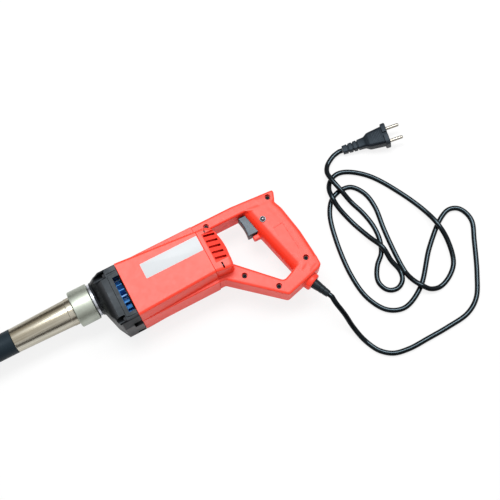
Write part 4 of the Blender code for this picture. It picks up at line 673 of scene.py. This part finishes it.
handleSettings = {
    "depth": 38 * mm,
    "gap": 0.3 * mm,
    "voxel": 0.9 * mm,
    "softening": 9,
    "softenBy": 0.5,
    "far": 0.3,  # past everything, for the cutters
    "frontCut": -0.06,
    "over": 6 * mm,
    "edges": {"cap": 4, "topArm": 2.4, "lowerArm": 2.4, "grip": 15, "gripBack": 6},
    "halves": {"cap": 44.5, "topArm": 18.6, "lowerArm": 18.4, "grip": 19, "gripBack": 18.9},
    "outlines": {  # x from the barrel's rear, y, corner radius
        "topArm": [
            (-9.7, 9.8, 0), (70, 9.8, 0), (104, 9.8, 0), (114.3, 4.6, 3), (119.5, 17.4, 2.6),
            (118.8, 20.5, 2.6), (59, 24.8, 40), (-9.7, 24.8, 0),
        ],
        "lowerArm": [
            (-7.7, -60, 0), (7.3, -59.7, 3), (71, -115.9, 5), (96.2, -109.4, 0), (120.7, -102.6, 3),
            (126.8, -98.8, 3), (127, -84.6, 0), (98, -84.6, 0), (89, -89.6, 9), (74.5, -95.4, 6),
            (11, -28.9, 0), (-7.7, -28.9, 0),
        ],
        "grip": [
            (68, 23.6, 0), (70.6, 4.6, 0), (77, -26.6, 0), (84, -56.4, 60), (91.4, -87, 0), (94.5, -106, 0),
            *gripRear,
        ],
        "gripBack": [
            (88, 22.2, 0), (90, 4.6, 0), (94, -26.6, 0), (100, -56.4, 60), (105, -87, 0), (106, -103.5, 0),
            *gripRear,
        ],
        "cap": [
            (-11.7, -51.5, 0), (-4, -51.5, 0), (23.9, -55.7, 6), (27.5, -21, 70), (20.5, 9.5, 17),
            (-11.7, 9.5, 0),
        ],
    },
    "lug": ((67.6, -27.4, -5), (81, -20.8, 5)),
    "boss": {"place": (109.2, -113.8), "turn": -65.8, "reach": 14, "radius": 12, "rim": 1.2, "hole": 7.1,
             "holeSpan": (-9, 5)},
    "screws": [(18.1, 15.2), (108.6, 13.8), (32, -66.4), (64.7, -99.3), (113.5, -82.3)],
    "screwSink": 4.0,
    "screwDepth": 5.2,
    "triggerSlot": ((56, -20.3, -9.5), (89, 8.7, 9.5)),
    "lock": {"place": (88.5, -10.3), "hole": 3.3, "depth": 9},
    "panel": {"start": 5, "low": -41, "top": 1, "fall": 22.5, "reach": 40, "clear": 20},
    "vents": {"start": (6.3, -2.1), "pitch": 8.25, "count": 5, "length": 15.5, "width": 3.0, "slant": 5,
              "ramp": (5.4, 12.6), "through": 12.2, "depth": 24, "over": 4},
    "cavity": {"start": -2, "end": 20, "top": 9.5, "low": -51.5, "wall": 4, "fall": 11},
    "namePanel": {"corners": [(94.3, -27.7, 1.5), (98.9, -70.8, 1.5), (111.5, -68.6, 1.5), (109, -26.2, 1.5)],
                  "depth": 0.9, "over": 8},
    "slitDepth": 14,
    "slits": [((9.4, 1.4), (11.6, 9.0)), ((10.6, -51.5), (12.9, -43))],
}


def fromRear(corners):
    return [(rearX + x * mm, y * mm, radius * mm) for x, y, radius in corners]


def handlePlace(x, y, z=axisZ):
    return Matrix.Translation((rearX + x * mm, y * mm, z))


def handleBox(corners):
    low, high = (Vector(corner) * mm for corner in corners)
    return boxForm(low, high, handlePlace(0, 0))


def uprightAt(x, y, z=axisZ):  # local X points up
    return handlePlace(x, y, z) @ turnBy(-90, "Y")


def bossPlace(settings):
    boss = settings["boss"]
    return handlePlace(*boss["place"]) @ turnBy(boss["turn"], "Z")


def handleBlank(settings):
    forms = []
    for name, corners in settings["outlines"].items():
        half, edge = settings["halves"][name] * mm, settings["edges"][name] * mm
        loop = rounded(fromRear(corners), steps=8)
        forms.append(plateForm(loop, axisZ - half, axisZ + half, edge))
    forms.append(handleBox(settings["lug"]))
    boss = settings["boss"]
    reach, radius, rim = -boss["reach"] * mm, boss["radius"] * mm, boss["rim"] * mm
    profile = [(reach, 0), (0, 0), (0, radius - rim), (-rim, radius), (reach, radius)]
    forms.append(turnedForm(profile, bossPlace(settings), sides=64))
    blank = makeMesh("handleBlank", merged(forms), redPlastic)
    remesh = blank.modifiers.new("remesh", "REMESH")
    remesh.mode = "VOXEL"
    remesh.voxel_size = settings["voxel"]
    soften = blank.modifiers.new("soften", "SMOOTH")
    soften.factor = settings["softenBy"]
    soften.iterations = settings["softening"]
    return settle(blank)


def mainCuts(settings):
    half, far, over = settings["depth"] / 2, settings["far"], settings["over"]
    forms = [boxForm((settings["frontCut"], -far, -far), (rearX + settings["gap"], far, far))]
    forms.append(handleBox(settings["triggerSlot"]))
    sink, depth = settings["screwSink"] * mm, settings["screwDepth"] * mm
    for x, y in settings["screws"]:
        forms.append(rodForm(uprightAt(x, y), sink, half - depth, half + over))
    lock = settings["lock"]
    bottom = half - lock["depth"] * mm
    forms.append(rodForm(uprightAt(*lock["place"]), lock["hole"] * mm, bottom, half + over))
    boss = settings["boss"]
    forms.append(rodForm(bossPlace(settings), boss["hole"] * mm, *(along * mm for along in boss["holeSpan"])))
    name = settings["namePanel"]
    low, high = axisZ + half - name["depth"] * mm, axisZ + half + name["over"] * mm
    forms.append(plateForm(rounded(fromRear(name["corners"]), steps=5), low, high))
    return merged(forms)


def capFaces(settings):  # both flat faces of the cap
    return [(side, axisZ + side * settings["halves"]["cap"] * mm) for side in (1, -1)]


def panelCuts(settings):
    panel = settings["panel"]
    forms = []
    for side, face in capFaces(settings):
        place = Matrix.Translation((rearX + panel["start"] * mm, 0, face)) @ turnBy(side * panel["fall"], "Y")
        low, high = sorted((0, side * panel["clear"] * mm))
        near, far = (0, panel["low"] * mm, low), (panel["reach"] * mm, panel["top"] * mm, high)
        forms.append(boxForm(near, far, place))
    return merged(forms)


def ventCuts(settings):
    vents = settings["vents"]
    startX, startY = vents["start"]
    wide, length, through = vents["width"] * mm / 2, vents["length"] * mm, vents["through"] * mm
    forms = []
    for side, face in capFaces(settings):
        shallow, deep = (side * -d * mm for d in vents["ramp"])
        above, bottom = side * vents["over"] * mm, side * -vents["depth"] * mm
        slope = shallow + (deep - shallow) * through / length
        for k in range(vents["count"]):
            place = Matrix.Translation((rearX + startX * mm, (startY - k * vents["pitch"]) * mm, face))
            place = place @ turnBy(-vents["slant"], "Z")
            outline = [(0, above), (0, bottom), (length, bottom), (length, above)]
            if k:  # only the first slot goes straight through
                outline[1:2] = [(0, shallow), (through, slope), (through, bottom)]
            forms.append(loftForm([[place @ Vector((x, y, z)) for x, z in outline] for y in (-wide, wide)]))
        for (x0, y0), (x1, y1) in settings["slits"]:
            low, high = sorted((face - side * settings["slitDepth"] * mm, face + above))
            forms.append(boxForm((rearX + x0 * mm, y0 * mm, low), (rearX + x1 * mm, y1 * mm, high)))
    return merged(forms)


def capCavity(settings):
    cavity = settings["cavity"]
    wall, cap = cavity["wall"], settings["halves"]["cap"]
    top, low = (cavity["top"] - wall) * mm, (cavity["low"] + wall) * mm
    rings = []
    for x, fall in ((cavity["start"], 0), (cavity["end"], cavity["fall"])):
        depth = (cap - wall - fall) * mm
        rings.append([Vector((rearX + x * mm, y, axisZ + z))
                      for y, z in ((top, depth), (low, depth), (low, -depth), (top, -depth))])
    return loftForm(rings)


def makeHandle(settings):
    blank = handleBlank(settings)
    # the vent panel and slot faces take finishes with painted shade
    for cuts, finish in ((panelCuts, ventPlastic), (mainCuts, redPlastic), (capCavity, redPlastic),
                         (ventCuts, slotPlastic)):
        combine(blank, cuts(settings), finish=finish)
    gap, far = settings["gap"] / 2, settings["far"]
    shells = []
    for name, low, high in (("handleUpper", -far, axisZ + gap), ("handleLower", axisZ - gap, far)):
        shell = addObject(name, blank.data.copy())
        combine(shell, boxForm((-far, -far, low), (far, far, high)))
        shells.append(flatten(shell, angle=32))
    bpy.data.objects.remove(blank, do_unlink=True)
    return shells


# node tree helpers

def newTree(name, sizes):  # geometry in and out, with a named input for each size
    tree = bpy.data.node_groups.new(name, "GeometryNodeTree")
    tree.interface.new_socket(name="Geometry", in_out="OUTPUT", socket_type="NodeSocketGeometry")
    tree.interface.new_socket(name="Geometry", in_out="INPUT", socket_type="NodeSocketGeometry")
    for label, value in sizes.items():
        kind = {int: "Int", float: "Float"}.get(type(value), "Vector")
        tree.interface.new_socket(name=label, in_out="INPUT", socket_type="NodeSocket" + kind)
    return tree, tree.nodes.new("NodeGroupInput").outputs


def vectorOf(tree, x=0.0, y=0.0, z=0.0):
    return addNode(tree, "ShaderNodeCombineXYZ", {0: x, 1: y, 2: z})


def moved(tree, geometry, place):
    return addNode(tree, "GeometryNodeTransform", {"Geometry": geometry, "Translation": place})


def endTree(tree, parts, finish):  # joins, realizes and dresses what the tree made
    joined = addNode(tree, "GeometryNodeJoinGeometry", {0: parts})
    real = addNode(tree, "GeometryNodeRealizeInstances", {0: joined})
    dressed = addNode(tree, "GeometryNodeSetMaterial", {"Geometry": real, "Material": finish})
    tree.links.new(dressed, tree.nodes.new("NodeGroupOutput").inputs[0])
    return tree


def growTree(piece, tree, sizes):
    change = piece.modifiers.new(tree.name, "NODES")
    change.node_group = tree
    for item in tree.interface.items_tree:
        if item.in_out == "INPUT" and item.name in sizes:
            change[item.identifier] = sizes[item.name]
    return settle(piece)


# screws with a cross recess, one mesh for each row

screwSettings = {
    "recessLength": 1.3,  # this and the next two are shares of the head's radius
    "recessWidth": 0.3,
    "topShare": 0.78,
    "recessDepth": 1.1,  # share of the head's height
    "spin": 0.9,  # from one screw to the next
    "handle": {"Head Radius": 3.4 * mm, "Head Height": 2.4 * mm, "Shank Radius": 1.9 * mm,
               "Shank Length": 26 * mm, "Way": (0.0, 0.0, 1.0)},
    "case": {"Head Radius": 3.8 * mm, "Head Height": 3 * mm, "Shank Radius": 2.1 * mm,
             "Shank Length": 26 * mm, "Way": (-1.0, 0.0, 0.0)},
    "casePlaces": [(y * mm, (44.5 + side * 36.5) * mm) for y in (11.5, -51) for side in (1, -1)],
    "caseSeat": -71.6 * mm,
    "handleSeat": 57.4 * mm,
}


def screwTree(settings, finish):
    tree, given = newTree("crossScrews", settings["case"])
    radius, height = given["Head Radius"], given["Head Height"]
    head = addNode(tree, "GeometryNodeMeshCone", {
        "Vertices": 40, "Radius Top": calc(tree, "MULTIPLY", radius, settings["topShare"]),
        "Radius Bottom": radius, "Depth": height})
    long = calc(tree, "MULTIPLY", radius, settings["recessLength"])
    wide = calc(tree, "MULTIPLY", radius, settings["recessWidth"])
    deep = calc(tree, "MULTIPLY", height, settings["recessDepth"])
    up = vectorOf(tree, 0.0, 0.0, height)
    bars = [moved(tree, addNode(tree, "GeometryNodeMeshCube", {"Size": vectorOf(tree, *size, deep)}), up)
            for size in ((long, wide), (wide, long))]
    recessed = addNode(tree, "GeometryNodeMeshBoolean", {"Mesh 1": head, "Mesh 2": bars},
                       operation="DIFFERENCE")
    shank = addNode(tree, "GeometryNodeMeshCylinder", {
        "Vertices": 24, "Radius": given["Shank Radius"], "Depth": given["Shank Length"]})
    down = vectorOf(tree, 0.0, 0.0, calc(tree, "MULTIPLY", given["Shank Length"], -0.5))
    screw = addNode(tree, "GeometryNodeJoinGeometry", {0: [recessed, moved(tree, shank, down)]})
    spin = calc(tree, "MULTIPLY", addNode(tree, "GeometryNodeInputIndex"), settings["spin"])
    turn = addNode(tree, "FunctionNodeEulerToRotation", {0: vectorOf(tree, 0.0, 0.0, spin)})
    aimed = addNode(tree, "FunctionNodeAlignRotationToVector", {"Rotation": turn, "Vector": given["Way"]},
                    axis="Z")
    placed = addNode(tree, "GeometryNodeInstanceOnPoints", {
        "Points": given["Geometry"], "Instance": screw, "Rotation": aimed})
    return endTree(tree, [placed], finish)


def makeScrews(name, tree, places, sizes, finish):
    form = bmesh.new()
    for place in places:
        form.verts.new(place)
    return growTree(makeMesh(name, form, finish), tree, sizes)


# gear case

caseSettings = {
    "length": 40.7 * mm, "straight": 23.5 * mm, "boss": 23.5 * mm, "inset": 0.6 * mm, "edge": 4 * mm,
    "sink": 1.1 * mm,  # the flat faces stand back from the rim around the window
    "keelSpread": 3 * mm,
    "shares": [(0, 0), (0.12, 0.02), (0.52, 0.62), (1, 1)],
    "soften": 0.9 * mm,
    "lands": [((-70.4, -51.4), (-55.4, 7.8), 2.6), ((-70.4, 10.6), (-55.4, 17.6), 1.2)],
    "landEdge": 0.7 * mm,
    "window": ((-64.8, -46.5), (-50, 3)),
    "sideWindow": {"length": 11 * mm, "near": 14 * mm, "far": 29 * mm, "low": -0.08, "high": 0.05},
    "pocket": 4.7 * mm,
    "chamber": 34.2 * mm,
    "pilot": 13.1 * mm,
    "pinion": 6.5 * mm,
    "softenAngle": 18,
    "landDepth": 5 * mm,
    "windowOver": 5 * mm, "pocketOver": 3 * mm,
    "gap": 0.3 * mm, "gearGap": 0.8 * mm, "overlap": 1 * mm,
    "farFront": -0.12,  # past the front, for the cutters
    "windowDepth": 0.6,  # share of the chamber's radius
    "arcSteps": 20,
}


def heights(way, near, far):  # above or below the split plane
    return sorted((axisZ + way * near, axisZ + way * far))


def caseRing(settings, x, share):
    inset, edge = settings["inset"], settings["edge"]
    top, low = barrelSettings["frontTop"] - inset, barrelSettings["frontLow"] + inset
    half = barrelSettings["depth"] / 2 - inset - settings["sink"]
    keel = barrelSettings["keelDepth"] / 2 + settings["keelSpread"]
    keelTop, keelLow = barrelSettings["keelTop"] - inset, barrelSettings["keelLow"] - inset
    upper = [(top, half, edge), (keelTop, keel, edge), (keelTop, -keel, edge), (top, -half, edge)]
    lower = [(low, -half, edge), (keelLow, -keel, edge), (keelLow, keel, edge), (low, half, edge)]
    ring = []
    for full in rounded(upper + lower, steps=5):
        angle = atan2(full.y, full.x - (top + low) / 2)
        point = (Vector((cos(angle), sin(angle))) * settings["boss"]).lerp(full, share)
        ring.append(Vector((x, point.x, axisZ + point.y)))
    return ring


def caseChambers(settings, backX):
    gap, overlap, farX, pilot = (settings[key] for key in ("gap", "overlap", "farFront", "pilot"))
    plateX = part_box("gear_plate")[0][0] - gap
    gearLow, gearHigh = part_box("spindle_gear")
    bearLow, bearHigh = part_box("spindle_bearing")
    gear = (gearHigh[1] - gearLow[1]) / 2 + settings["gearGap"]
    bear = (bearHigh[1] - bearLow[1]) / 2 + gap
    front, back, end = bearLow[0], bearHigh[0] + gap, plateX + overlap
    steps = [(farX, 0), (farX, pilot), (front, pilot), (front, bear), (back, bear), (back, gear), (end, gear),
             (end, 0)]
    forms = [turnedForm(steps, spindlePlace, sides=64)]
    for first, last, radius in ((plateX, backX + 3 * overlap, settings["chamber"]),
                                (back, plateX + 2 * overlap, settings["pinion"])):
        profile = [(first, 0), (first, radius), (last, radius), (last, 0)]
        forms.append(turnedForm(profile, motorPlace, sides=96))
    return forms


def caseOpenings(settings, backX):
    forms = []
    half, radius = barrelSettings["depth"] / 2, settings["pocket"]
    (x0, y0), (x1, y1) = settings["window"]
    side = settings["sideWindow"]
    for way in (1, -1):
        low, high = heights(way, settings["windowDepth"] * settings["chamber"], 2 * half)
        forms.append(boxForm((x0 * mm, y0 * mm, low), (x1 * mm, y1 * mm, high)))
        low, high = heights(way, side["near"], side["far"])
        near = (backX - side["length"], side["low"], low)
        forms.append(boxForm(near, (backX + settings["windowOver"], side["high"], high)))
    arc = [pi * k / settings["arcSteps"] for k in range(settings["arcSteps"] + 1)]
    ends = (settings["farFront"], screwSettings["caseSeat"] + settings["gap"])
    for y, z in screwSettings["casePlaces"]:  # pockets are open to the near flat face
        way = copysign(1, z - axisZ)
        outer = axisZ + way * (half + settings["pocketOver"])
        loop = [(y + radius * cos(angle), z - way * radius * sin(angle)) for angle in arc]
        loop += [(y - radius, outer), (y + radius, outer)]
        forms.append(loftForm([[Vector((x, *p)) for p in loop] for x in ends]))
    return forms


def makeCase(settings):
    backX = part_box("gear_case")[1][0]
    startX = backX - settings["length"]
    slope = settings["length"] - settings["straight"]
    rings = [caseRing(settings, startX + along * slope, share) for along, share in settings["shares"]]
    rings.append(caseRing(settings, backX, 1))
    case = makeMesh("gearCase", loftForm(rings), blackCasting)
    soften = case.modifiers.new("soften", "BEVEL")
    soften.width = settings["soften"]
    soften.segments = 2
    soften.limit_method = "ANGLE"
    soften.angle_limit = radians(settings["softenAngle"])
    settle(case)
    top = barrelSettings["depth"] / 2 - settings["inset"]
    for way in (1, -1):
        for (x0, y0), (x1, y1), radius in settings["lands"]:
            corners = [(x0, y0, radius), (x1, y0, 0), (x1, y1, 0), (x0, y1, radius)]
            low, high = heights(way, top - settings["landDepth"], top)
            loop = rounded(inMillimetres(corners), steps=5)
            combine(case, plateForm(loop, low, high, settings["landEdge"], fine=3), "UNION")
    for form in caseChambers(settings, backX) + caseOpenings(settings, backX):
        combine(case, form)
    return flatten(case)


# coupling: spigot, nut and hose ferrule, turned about the spindle axis

couplingSettings = {
    "spigot": [(-93.8, 12.75, 0), (-96.3, 12.75, 0), (-96.3, 22, 0.5), (-100, 22, 0.9), (-100, 18, 0),
               (-117, 18, 0.6), (-117, 11, 0.4), (-93.8, 11, 0)],
    "nut": [(-100.3, 24.7, 1.0), (-126.5, 24.7, 1.5), (-126.5, 15.5, 0.4), (-122.5, 15.5, 0),
            (-122.5, 18.5, 0), (-100.3, 18.5, 0.6)],
    "ferrule": [(-119.2, 17.7, 0.3), (-122.2, 17.7, 0), (-122.2, 15, 0), (-126.8, 15, 0), (-126.8, 18.8, 0.5),
                (-134.3, 18.8, 0.5), (-134.8, 18.2, 0.2), (-135.3, 18.3, 0.3), (-211.8, 16.4, 0.7),
                (-211.8, 10, 0), (-119.2, 10, 0)],
}


# blue cooling fan

fanSettings = {
    "sizes": {"Blades": 24, "Eye": 18 * mm, "Reach": 32.6 * mm, "Width": 1.6 * mm, "Height": 8 * mm,
              "Sweep": 2 * mm},
    "wheel": [(9.3, 9, 0.5), (2, 9, 1.2), (2, 33, 0.4), (0, 33, 0.4), (0, 4.4, 0), (9.3, 4.4, 0)],
    "bladeLift": 1 * mm,
    "baffle": [(-56.8, 34.0, 0.2), (-56.8, 20, 0.3), (-55.5, 20, 0.3), (-55.5, 34.0, 0.2)],
}


def bladeTree(settings, finish):
    tree, given = newTree("fanBlades", settings["sizes"])
    long = calc(tree, "SUBTRACT", given["Reach"], given["Eye"])
    blade = addNode(tree, "GeometryNodeMeshCube", {
        "Size": vectorOf(tree, given["Height"], long, given["Width"]), "Vertices Y": 9})
    across = tree.nodes.new("ShaderNodeSeparateXYZ")
    tree.links.new(addNode(tree, "GeometryNodeInputPosition"), across.inputs[0])
    share = calc(tree, "ADD", calc(tree, "DIVIDE", across.outputs[1], long), 0.5)
    swept = calc(tree, "MULTIPLY", calc(tree, "POWER", share, 2.0), given["Sweep"])
    sideways = vectorOf(tree, 0.0, 0.0, swept)
    bent = addNode(tree, "GeometryNodeSetPosition", {"Geometry": blade, "Offset": sideways})
    turn = calc(tree, "MULTIPLY", addNode(tree, "GeometryNodeInputIndex"), tau)
    turn = calc(tree, "DIVIDE", turn, given["Blades"])
    middle = calc(tree, "MULTIPLY", calc(tree, "ADD", given["Reach"], given["Eye"]), 0.5)
    lift = calc(tree, "ADD", calc(tree, "MULTIPLY", given["Height"], 0.5), settings["bladeLift"])
    place = vectorOf(tree, lift, calc(tree, "MULTIPLY", calc(tree, "COSINE", turn), middle),
                     calc(tree, "MULTIPLY", calc(tree, "SINE", turn), middle))
    points = addNode(tree, "GeometryNodePoints", {"Count": given["Blades"], "Position": place})
    spin = addNode(tree, "FunctionNodeEulerToRotation", {0: vectorOf(tree, turn)})
    placed = addNode(tree, "GeometryNodeInstanceOnPoints", {
        "Points": points, "Instance": bent, "Rotation": spin})
    return endTree(tree, [given["Geometry"], placed], finish)


def makeFan(settings):
    fan = turned("coolingFan", settings["wheel"], Matrix(), bluePlastic)
    growTree(fan, bladeTree(settings, bluePlastic), settings["sizes"])
    fan.data.transform(Matrix.Translation((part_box("fan")[0][0], motorY, axisZ)))
    return fan


# trigger, lock button and its ring

triggerSettings = {
    "front": 61, "back": 82, "top": 8.2, "low": -19.8, "half": 9, "hollow": 1.6, "drop": 1.2, "edge": 0.9,
    "corner": 0.9,
    "stem": ((78, -14.5, -3), (92, -8.5, 3)),
    "ribs": 12,
}
lockSettings = {
    "face": 63.5 * mm,
    "button": [(3.6, 0, 0), (3.5, 1.2, 0.6), (2.7, 2.4, 1.0), (1.6, 2.8, 0.5), (-3.3, 2.8, 0),
               (-3.3, 4.6, 0.2), (-4.7, 4.6, 0.2), (-4.7, 0, 0)],
    "ring": [(0.3, 3.3, 0), (0.3, 4.3, 0), (1.0, 4.3, 0.35), (1.3, 3.8, 0.25), (1.3, 3.3, 0.15)],
}


def makeTrigger(settings):
    front, back, top, low, corner = (settings[key] for key in ("front", "back", "top", "low", "corner"))
    corners = []
    count = settings["ribs"]
    for k in range(count + 1):
        share = k / count
        x = front + settings["hollow"] * sin(pi * share) + settings["drop"] * share
        corners.append((x, top + (low - top) * share, corner if k in (0, count) else 0))
    corners += [(back, low, corner), (back, top, corner)]
    half, edge = settings["half"] * mm, settings["edge"] * mm
    form = plateForm(rounded(fromRear(corners), steps=4), axisZ - half, axisZ + half, edge)
    trigger = makeMesh("trigger", form, triggerPlastic)
    combine(trigger, handleBox(settings["stem"]), "UNION")
    return trigger


# boot on the cable boss, label and clips

bootSettings = {
    "profile": [(-9, 0, 0), (24, 0, 0), (24, 4.6, 0.6), (17.2, 5.25, 0.3), (16.8, 4.95, 0.2), (16, 5.0, 0.2),
                (15.6, 5.4, 0.3), (11.2, 5.8, 0.3), (10.8, 5.5, 0.2), (10, 5.55, 0.2), (9.6, 5.95, 0.3),
                (2, 6.7, 0.4), (0.6, 6.8, 0.3), (-6, 6.8, 0), (-6, 8.6, 0.2), (-9, 8.6, 0.2)],
}
labelSettings = {
    "corners": [(-26.5, -18.4, 1.2), (53.8, -18.4, 1.2), (53.8, 2.6, 1.2), (-26.5, 2.6, 1.2)],
    "face": 89 * mm, "thickness": 0.16 * mm, "gap": 0.02 * mm, "edge": 0.05 * mm,
}
clipSettings = {
    "blades": [((9.5, 2.6), (11.5, 4.6)), ((10.7, -47.6), (12.8, -45.4))],
    "near": 33 * mm, "far": 42.6 * mm, "corner": 0.4, "edge": 0.2 * mm,
}


def makeLabel(settings):
    loop = rounded(inMillimetres(settings["corners"]), steps=6)
    low = settings["face"] + settings["gap"]
    form = plateForm(loop, low, low + settings["thickness"], settings["edge"], fine=2)
    return makeMesh("bareLabel", form, labelFoil)


def makeClips(settings):
    forms = []
    for (x0, y0), (x1, y1) in settings["blades"]:
        corners = [(x, y, settings["corner"]) for x, y in ((x0, y0), (x1, y0), (x1, y1), (x0, y1))]
        for way in (1, -1):
            low, high = heights(way, settings["near"], settings["far"])
            forms.append(plateForm(rounded(fromRear(corners), steps=3), low, high, settings["edge"], fine=2))
    return makeMesh("ventClips", merged(forms), clipSteel)


# plug on the cord

plugSettings = {
    "sections": [  # along, half width, half height
        (0, 4.9, 4.4), (0.5, 5.5, 5.0), (6.7, 5.9, 5.3), (7.2, 5.5, 4.9), (7.3, 4.5, 4.0),
        (8.7, 4.6, 4.1), (8.8, 5.6, 5.0), (9.3, 6.0, 5.4), (13.7, 6.3, 5.6), (14.2, 5.9, 5.2),
        (14.3, 4.8, 4.3), (15.7, 4.9, 4.4), (15.8, 6.0, 5.3), (16.3, 6.4, 5.7), (20.5, 6.6, 5.9),
        (21, 6.2, 5.5), (21.1, 5.1, 4.6), (22.3, 5.2, 4.7), (22.4, 6.3, 5.6), (22.9, 6.7, 6.0),
        (31.5, 7.2, 6.5), (33, 7.6, 6.9), (37.5, 10.4, 9.0), (39.5, 10.9, 9.3), (58.4, 13.2, 9.3),
        (59.2, 13.4, 9.5), (59.4, 15.2, 11.2), (60.0, 16.0, 11.8), (65.2, 16.3, 12.0), (66, 15.5, 11.2),
    ],
    "corner": 0.42,  # share of the half height that is rounded
    "notch": ((58.6, -2.4, 9.0), (67, 2.4, 14)),
    "ribs": {"Count": 6, "Pitch": 2.1 * mm, "Length": 14 * mm, "Width": 0.8 * mm, "Height": 0.8 * mm,
             "Start": (44.5 * mm, 0.0, 9.3 * mm)},
    "pin": [(85, 0, 0), (85, 1.6, 0.6), (83.6, 2.4, 0.8), (58, 2.4, 0), (58, 0, 0)],
    "pinSpacing": 19 * mm,
}


def plugPlace(settings):
    place = Matrix.Translation(settings["plug"])
    return place @ turnBy(settings["plugTurn"], "Z") @ turnBy(-settings["plugRise"], "Y")


def ribTree(settings, finish):  # rows of ribs on both flat faces
    tree, given = newTree("gripRibs", settings["ribs"])
    rib = addNode(tree, "GeometryNodeMeshCube", {
        "Size": vectorOf(tree, given["Width"], given["Length"], given["Height"])})
    parts = [given["Geometry"]]
    for way in (1.0, -1.0):
        row = addNode(tree, "GeometryNodeMeshLine", {
            "Count": given["Count"], "Offset": vectorOf(tree, given["Pitch"]),
            "Start Location": addNode(tree, "ShaderNodeVectorMath", {0: given["Start"], 1: (1.0, 1.0, way)},
                                      operation="MULTIPLY")})
        parts.append(addNode(tree, "GeometryNodeInstanceOnPoints", {"Points": row, "Instance": rib}))
    return endTree(tree, parts, finish)


def makePlug(settings, place):
    rings = []
    for x, wide, high in settings["sections"]:
        corner = high * settings["corner"]
        corners = [(wide, -high, corner), (wide, high, corner), (-wide, high, corner), (-wide, -high, corner)]
        loop = rounded(inMillimetres(corners), steps=5)
        rings.append([Vector((x * mm, p.x, p.y)) for p in loop])
    body = makeMesh("plugBody", loftForm(rings), plugPlastic)
    (x0, y0, z0), (x1, y1, z1) = inMillimetres(settings["notch"])
    notches = [boxForm((x0, y0, low), (x1, y1, high)) for low, high in ((z0, z1), (-z1, -z0))]
    combine(body, merged(notches))
    growTree(body, ribTree(settings, plugPlastic), settings["ribs"])
    body.data.transform(place)
    profile = rounded(inMillimetres(settings["pin"]), steps=4)
    pins = []
    for way in (1, -1):
        aside = Matrix.Translation((0, way * settings["pinSpacing"] / 2, 0))
        pins.append(turnedForm(profile, place @ aside, sides=40))
    return body, makeMesh("plugPins", merged(pins), brightNickel)


# poker head on the far end of the hose

headSettings = {
    "place": Vector((-427.1, 314, 17.8)) * mm,
    "ferrule": [(72.3, 13, 0), (60.3, 13, 0), (60.3, 17.5, 0.5), (21, 17.5, 2), (18.5, 17.1, 0.6),
                (17.5, 17.1, 0.6), (15, 17.35, 1), (0.3, 16.5, 0.8), (0.3, 8.5, 0), (72.3, 8.5, 0)],
}


def place(piece, slot, *nodes, body="tool"):
    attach(piece, body)
    if nodes:
        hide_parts(*nodes)
    return piece


setCamera(cameraSettings)
setLight(lightSettings)
layFloor(lightSettings)
standCards(lightSettings)
dressCadNodes()
print("camera, light and floor set")

mainsCord, cordExit, cordLength = layCord(cordSettings)
place(mainsCord, "rubber", "mains_cord")
lightAlone("cordBox", mainsCord)
plugBody, plugPins = makePlug(plugSettings, plugPlace(cordSettings))
place(plugBody, "black_plastic", "plug_body")
place(plugPins, "plated_steel", "plug_pin_1", "plug_pin_2")
rubberHose, hoseExit, hoseLength = layHose(hoseSettings)
place(rubberHose, "rubber", "rubber_hose")
headPlace = Matrix.Translation(headSettings["place"])
headFerrule = turned("headFerrule", headSettings["ferrule"], headPlace, headSteel)
place(headFerrule, "plated_steel", "head_ferrule")
print("cord %.3f m and hose %.3f m laid" % (cordLength, hoseLength))

motorBarrel = place(makeBarrel(barrelSettings), "red_plastic", "motor_housing")
print("barrel: %d faces" % len(motorBarrel.data.polygons))

handleUpper, handleLower = makeHandle(handleSettings)
for shell, node in ((handleUpper, "handle_shell_upper"), (handleLower, "handle_shell_lower")):
    place(shell, "red_plastic", node)
    print("%s: %d faces" % (shell.name, len(shell.data.polygons)))

gearCase = place(makeCase(caseSettings), "black_casting", "gear_case")
print("gear case: %d faces" % len(gearCase.data.polygons))
for name, key, body, slot, node, finish in (
        ("spigotFlange", "spigot", "tool", "aluminium", "spigot", paleAluminium),
        ("couplingNut", "nut", "nut", "plated_steel", "coupling_nut", satinSteel),
        ("hoseFerrule", "ferrule", "tool", "plated_steel", "hose_ferrule", drawnSteel)):
    place(turned(name, couplingSettings[key], spindlePlace, finish, 128), slot, node, body=body)
print("gear case and coupling made")

place(makeFan(fanSettings), "blue_plastic", "fan", body="armature")
place(turned("airBaffle", fanSettings["baffle"], motorPlace, blackPlastic), "black_plastic")
place(makeTrigger(triggerSettings), "grey_plastic", "trigger", body="trigger")
lockPlace = uprightAt(*handleSettings["lock"]["place"], lockSettings["face"])
lockButton = turned("lockButton", lockSettings["button"], lockPlace, darkChrome, 48)
place(lockButton, "chrome", "lock_button", body="lock_button")
place(turned("lockRing", lockSettings["ring"], lockPlace, chromePlate, 64), "chrome", "lock_ring")
cordBoot = turned("cordBoot", bootSettings["profile"], bossPlace(handleSettings), bootRubber, 64)
place(cordBoot, "rubber", "cord_boot")
place(makeLabel(labelSettings), "aluminium")
place(makeClips(clipSettings), "plated_steel")
print("fan, trigger, lock, boot and label made")

crossScrews = screwTree(screwSettings, blackOxide)
handlePlaces = [(rearX + x * mm, y * mm, screwSettings["handleSeat"]) for x, y in handleSettings["screws"]]
casePlaces = [(screwSettings["caseSeat"], y, z) for y, z in screwSettings["casePlaces"]]
for key, places, ends in (("handle", handlePlaces, ("front", "top", "arm", "low", "grip")),
                          ("case", casePlaces, ("top_upper", "top_lower", "low_upper", "low_lower"))):
    screws = makeScrews(key + "Screws", crossScrews, places, screwSettings[key], blackOxide)
    place(screws, "dark_steel", *(key + "_screw_" + end for end in ends))
print("screws set")
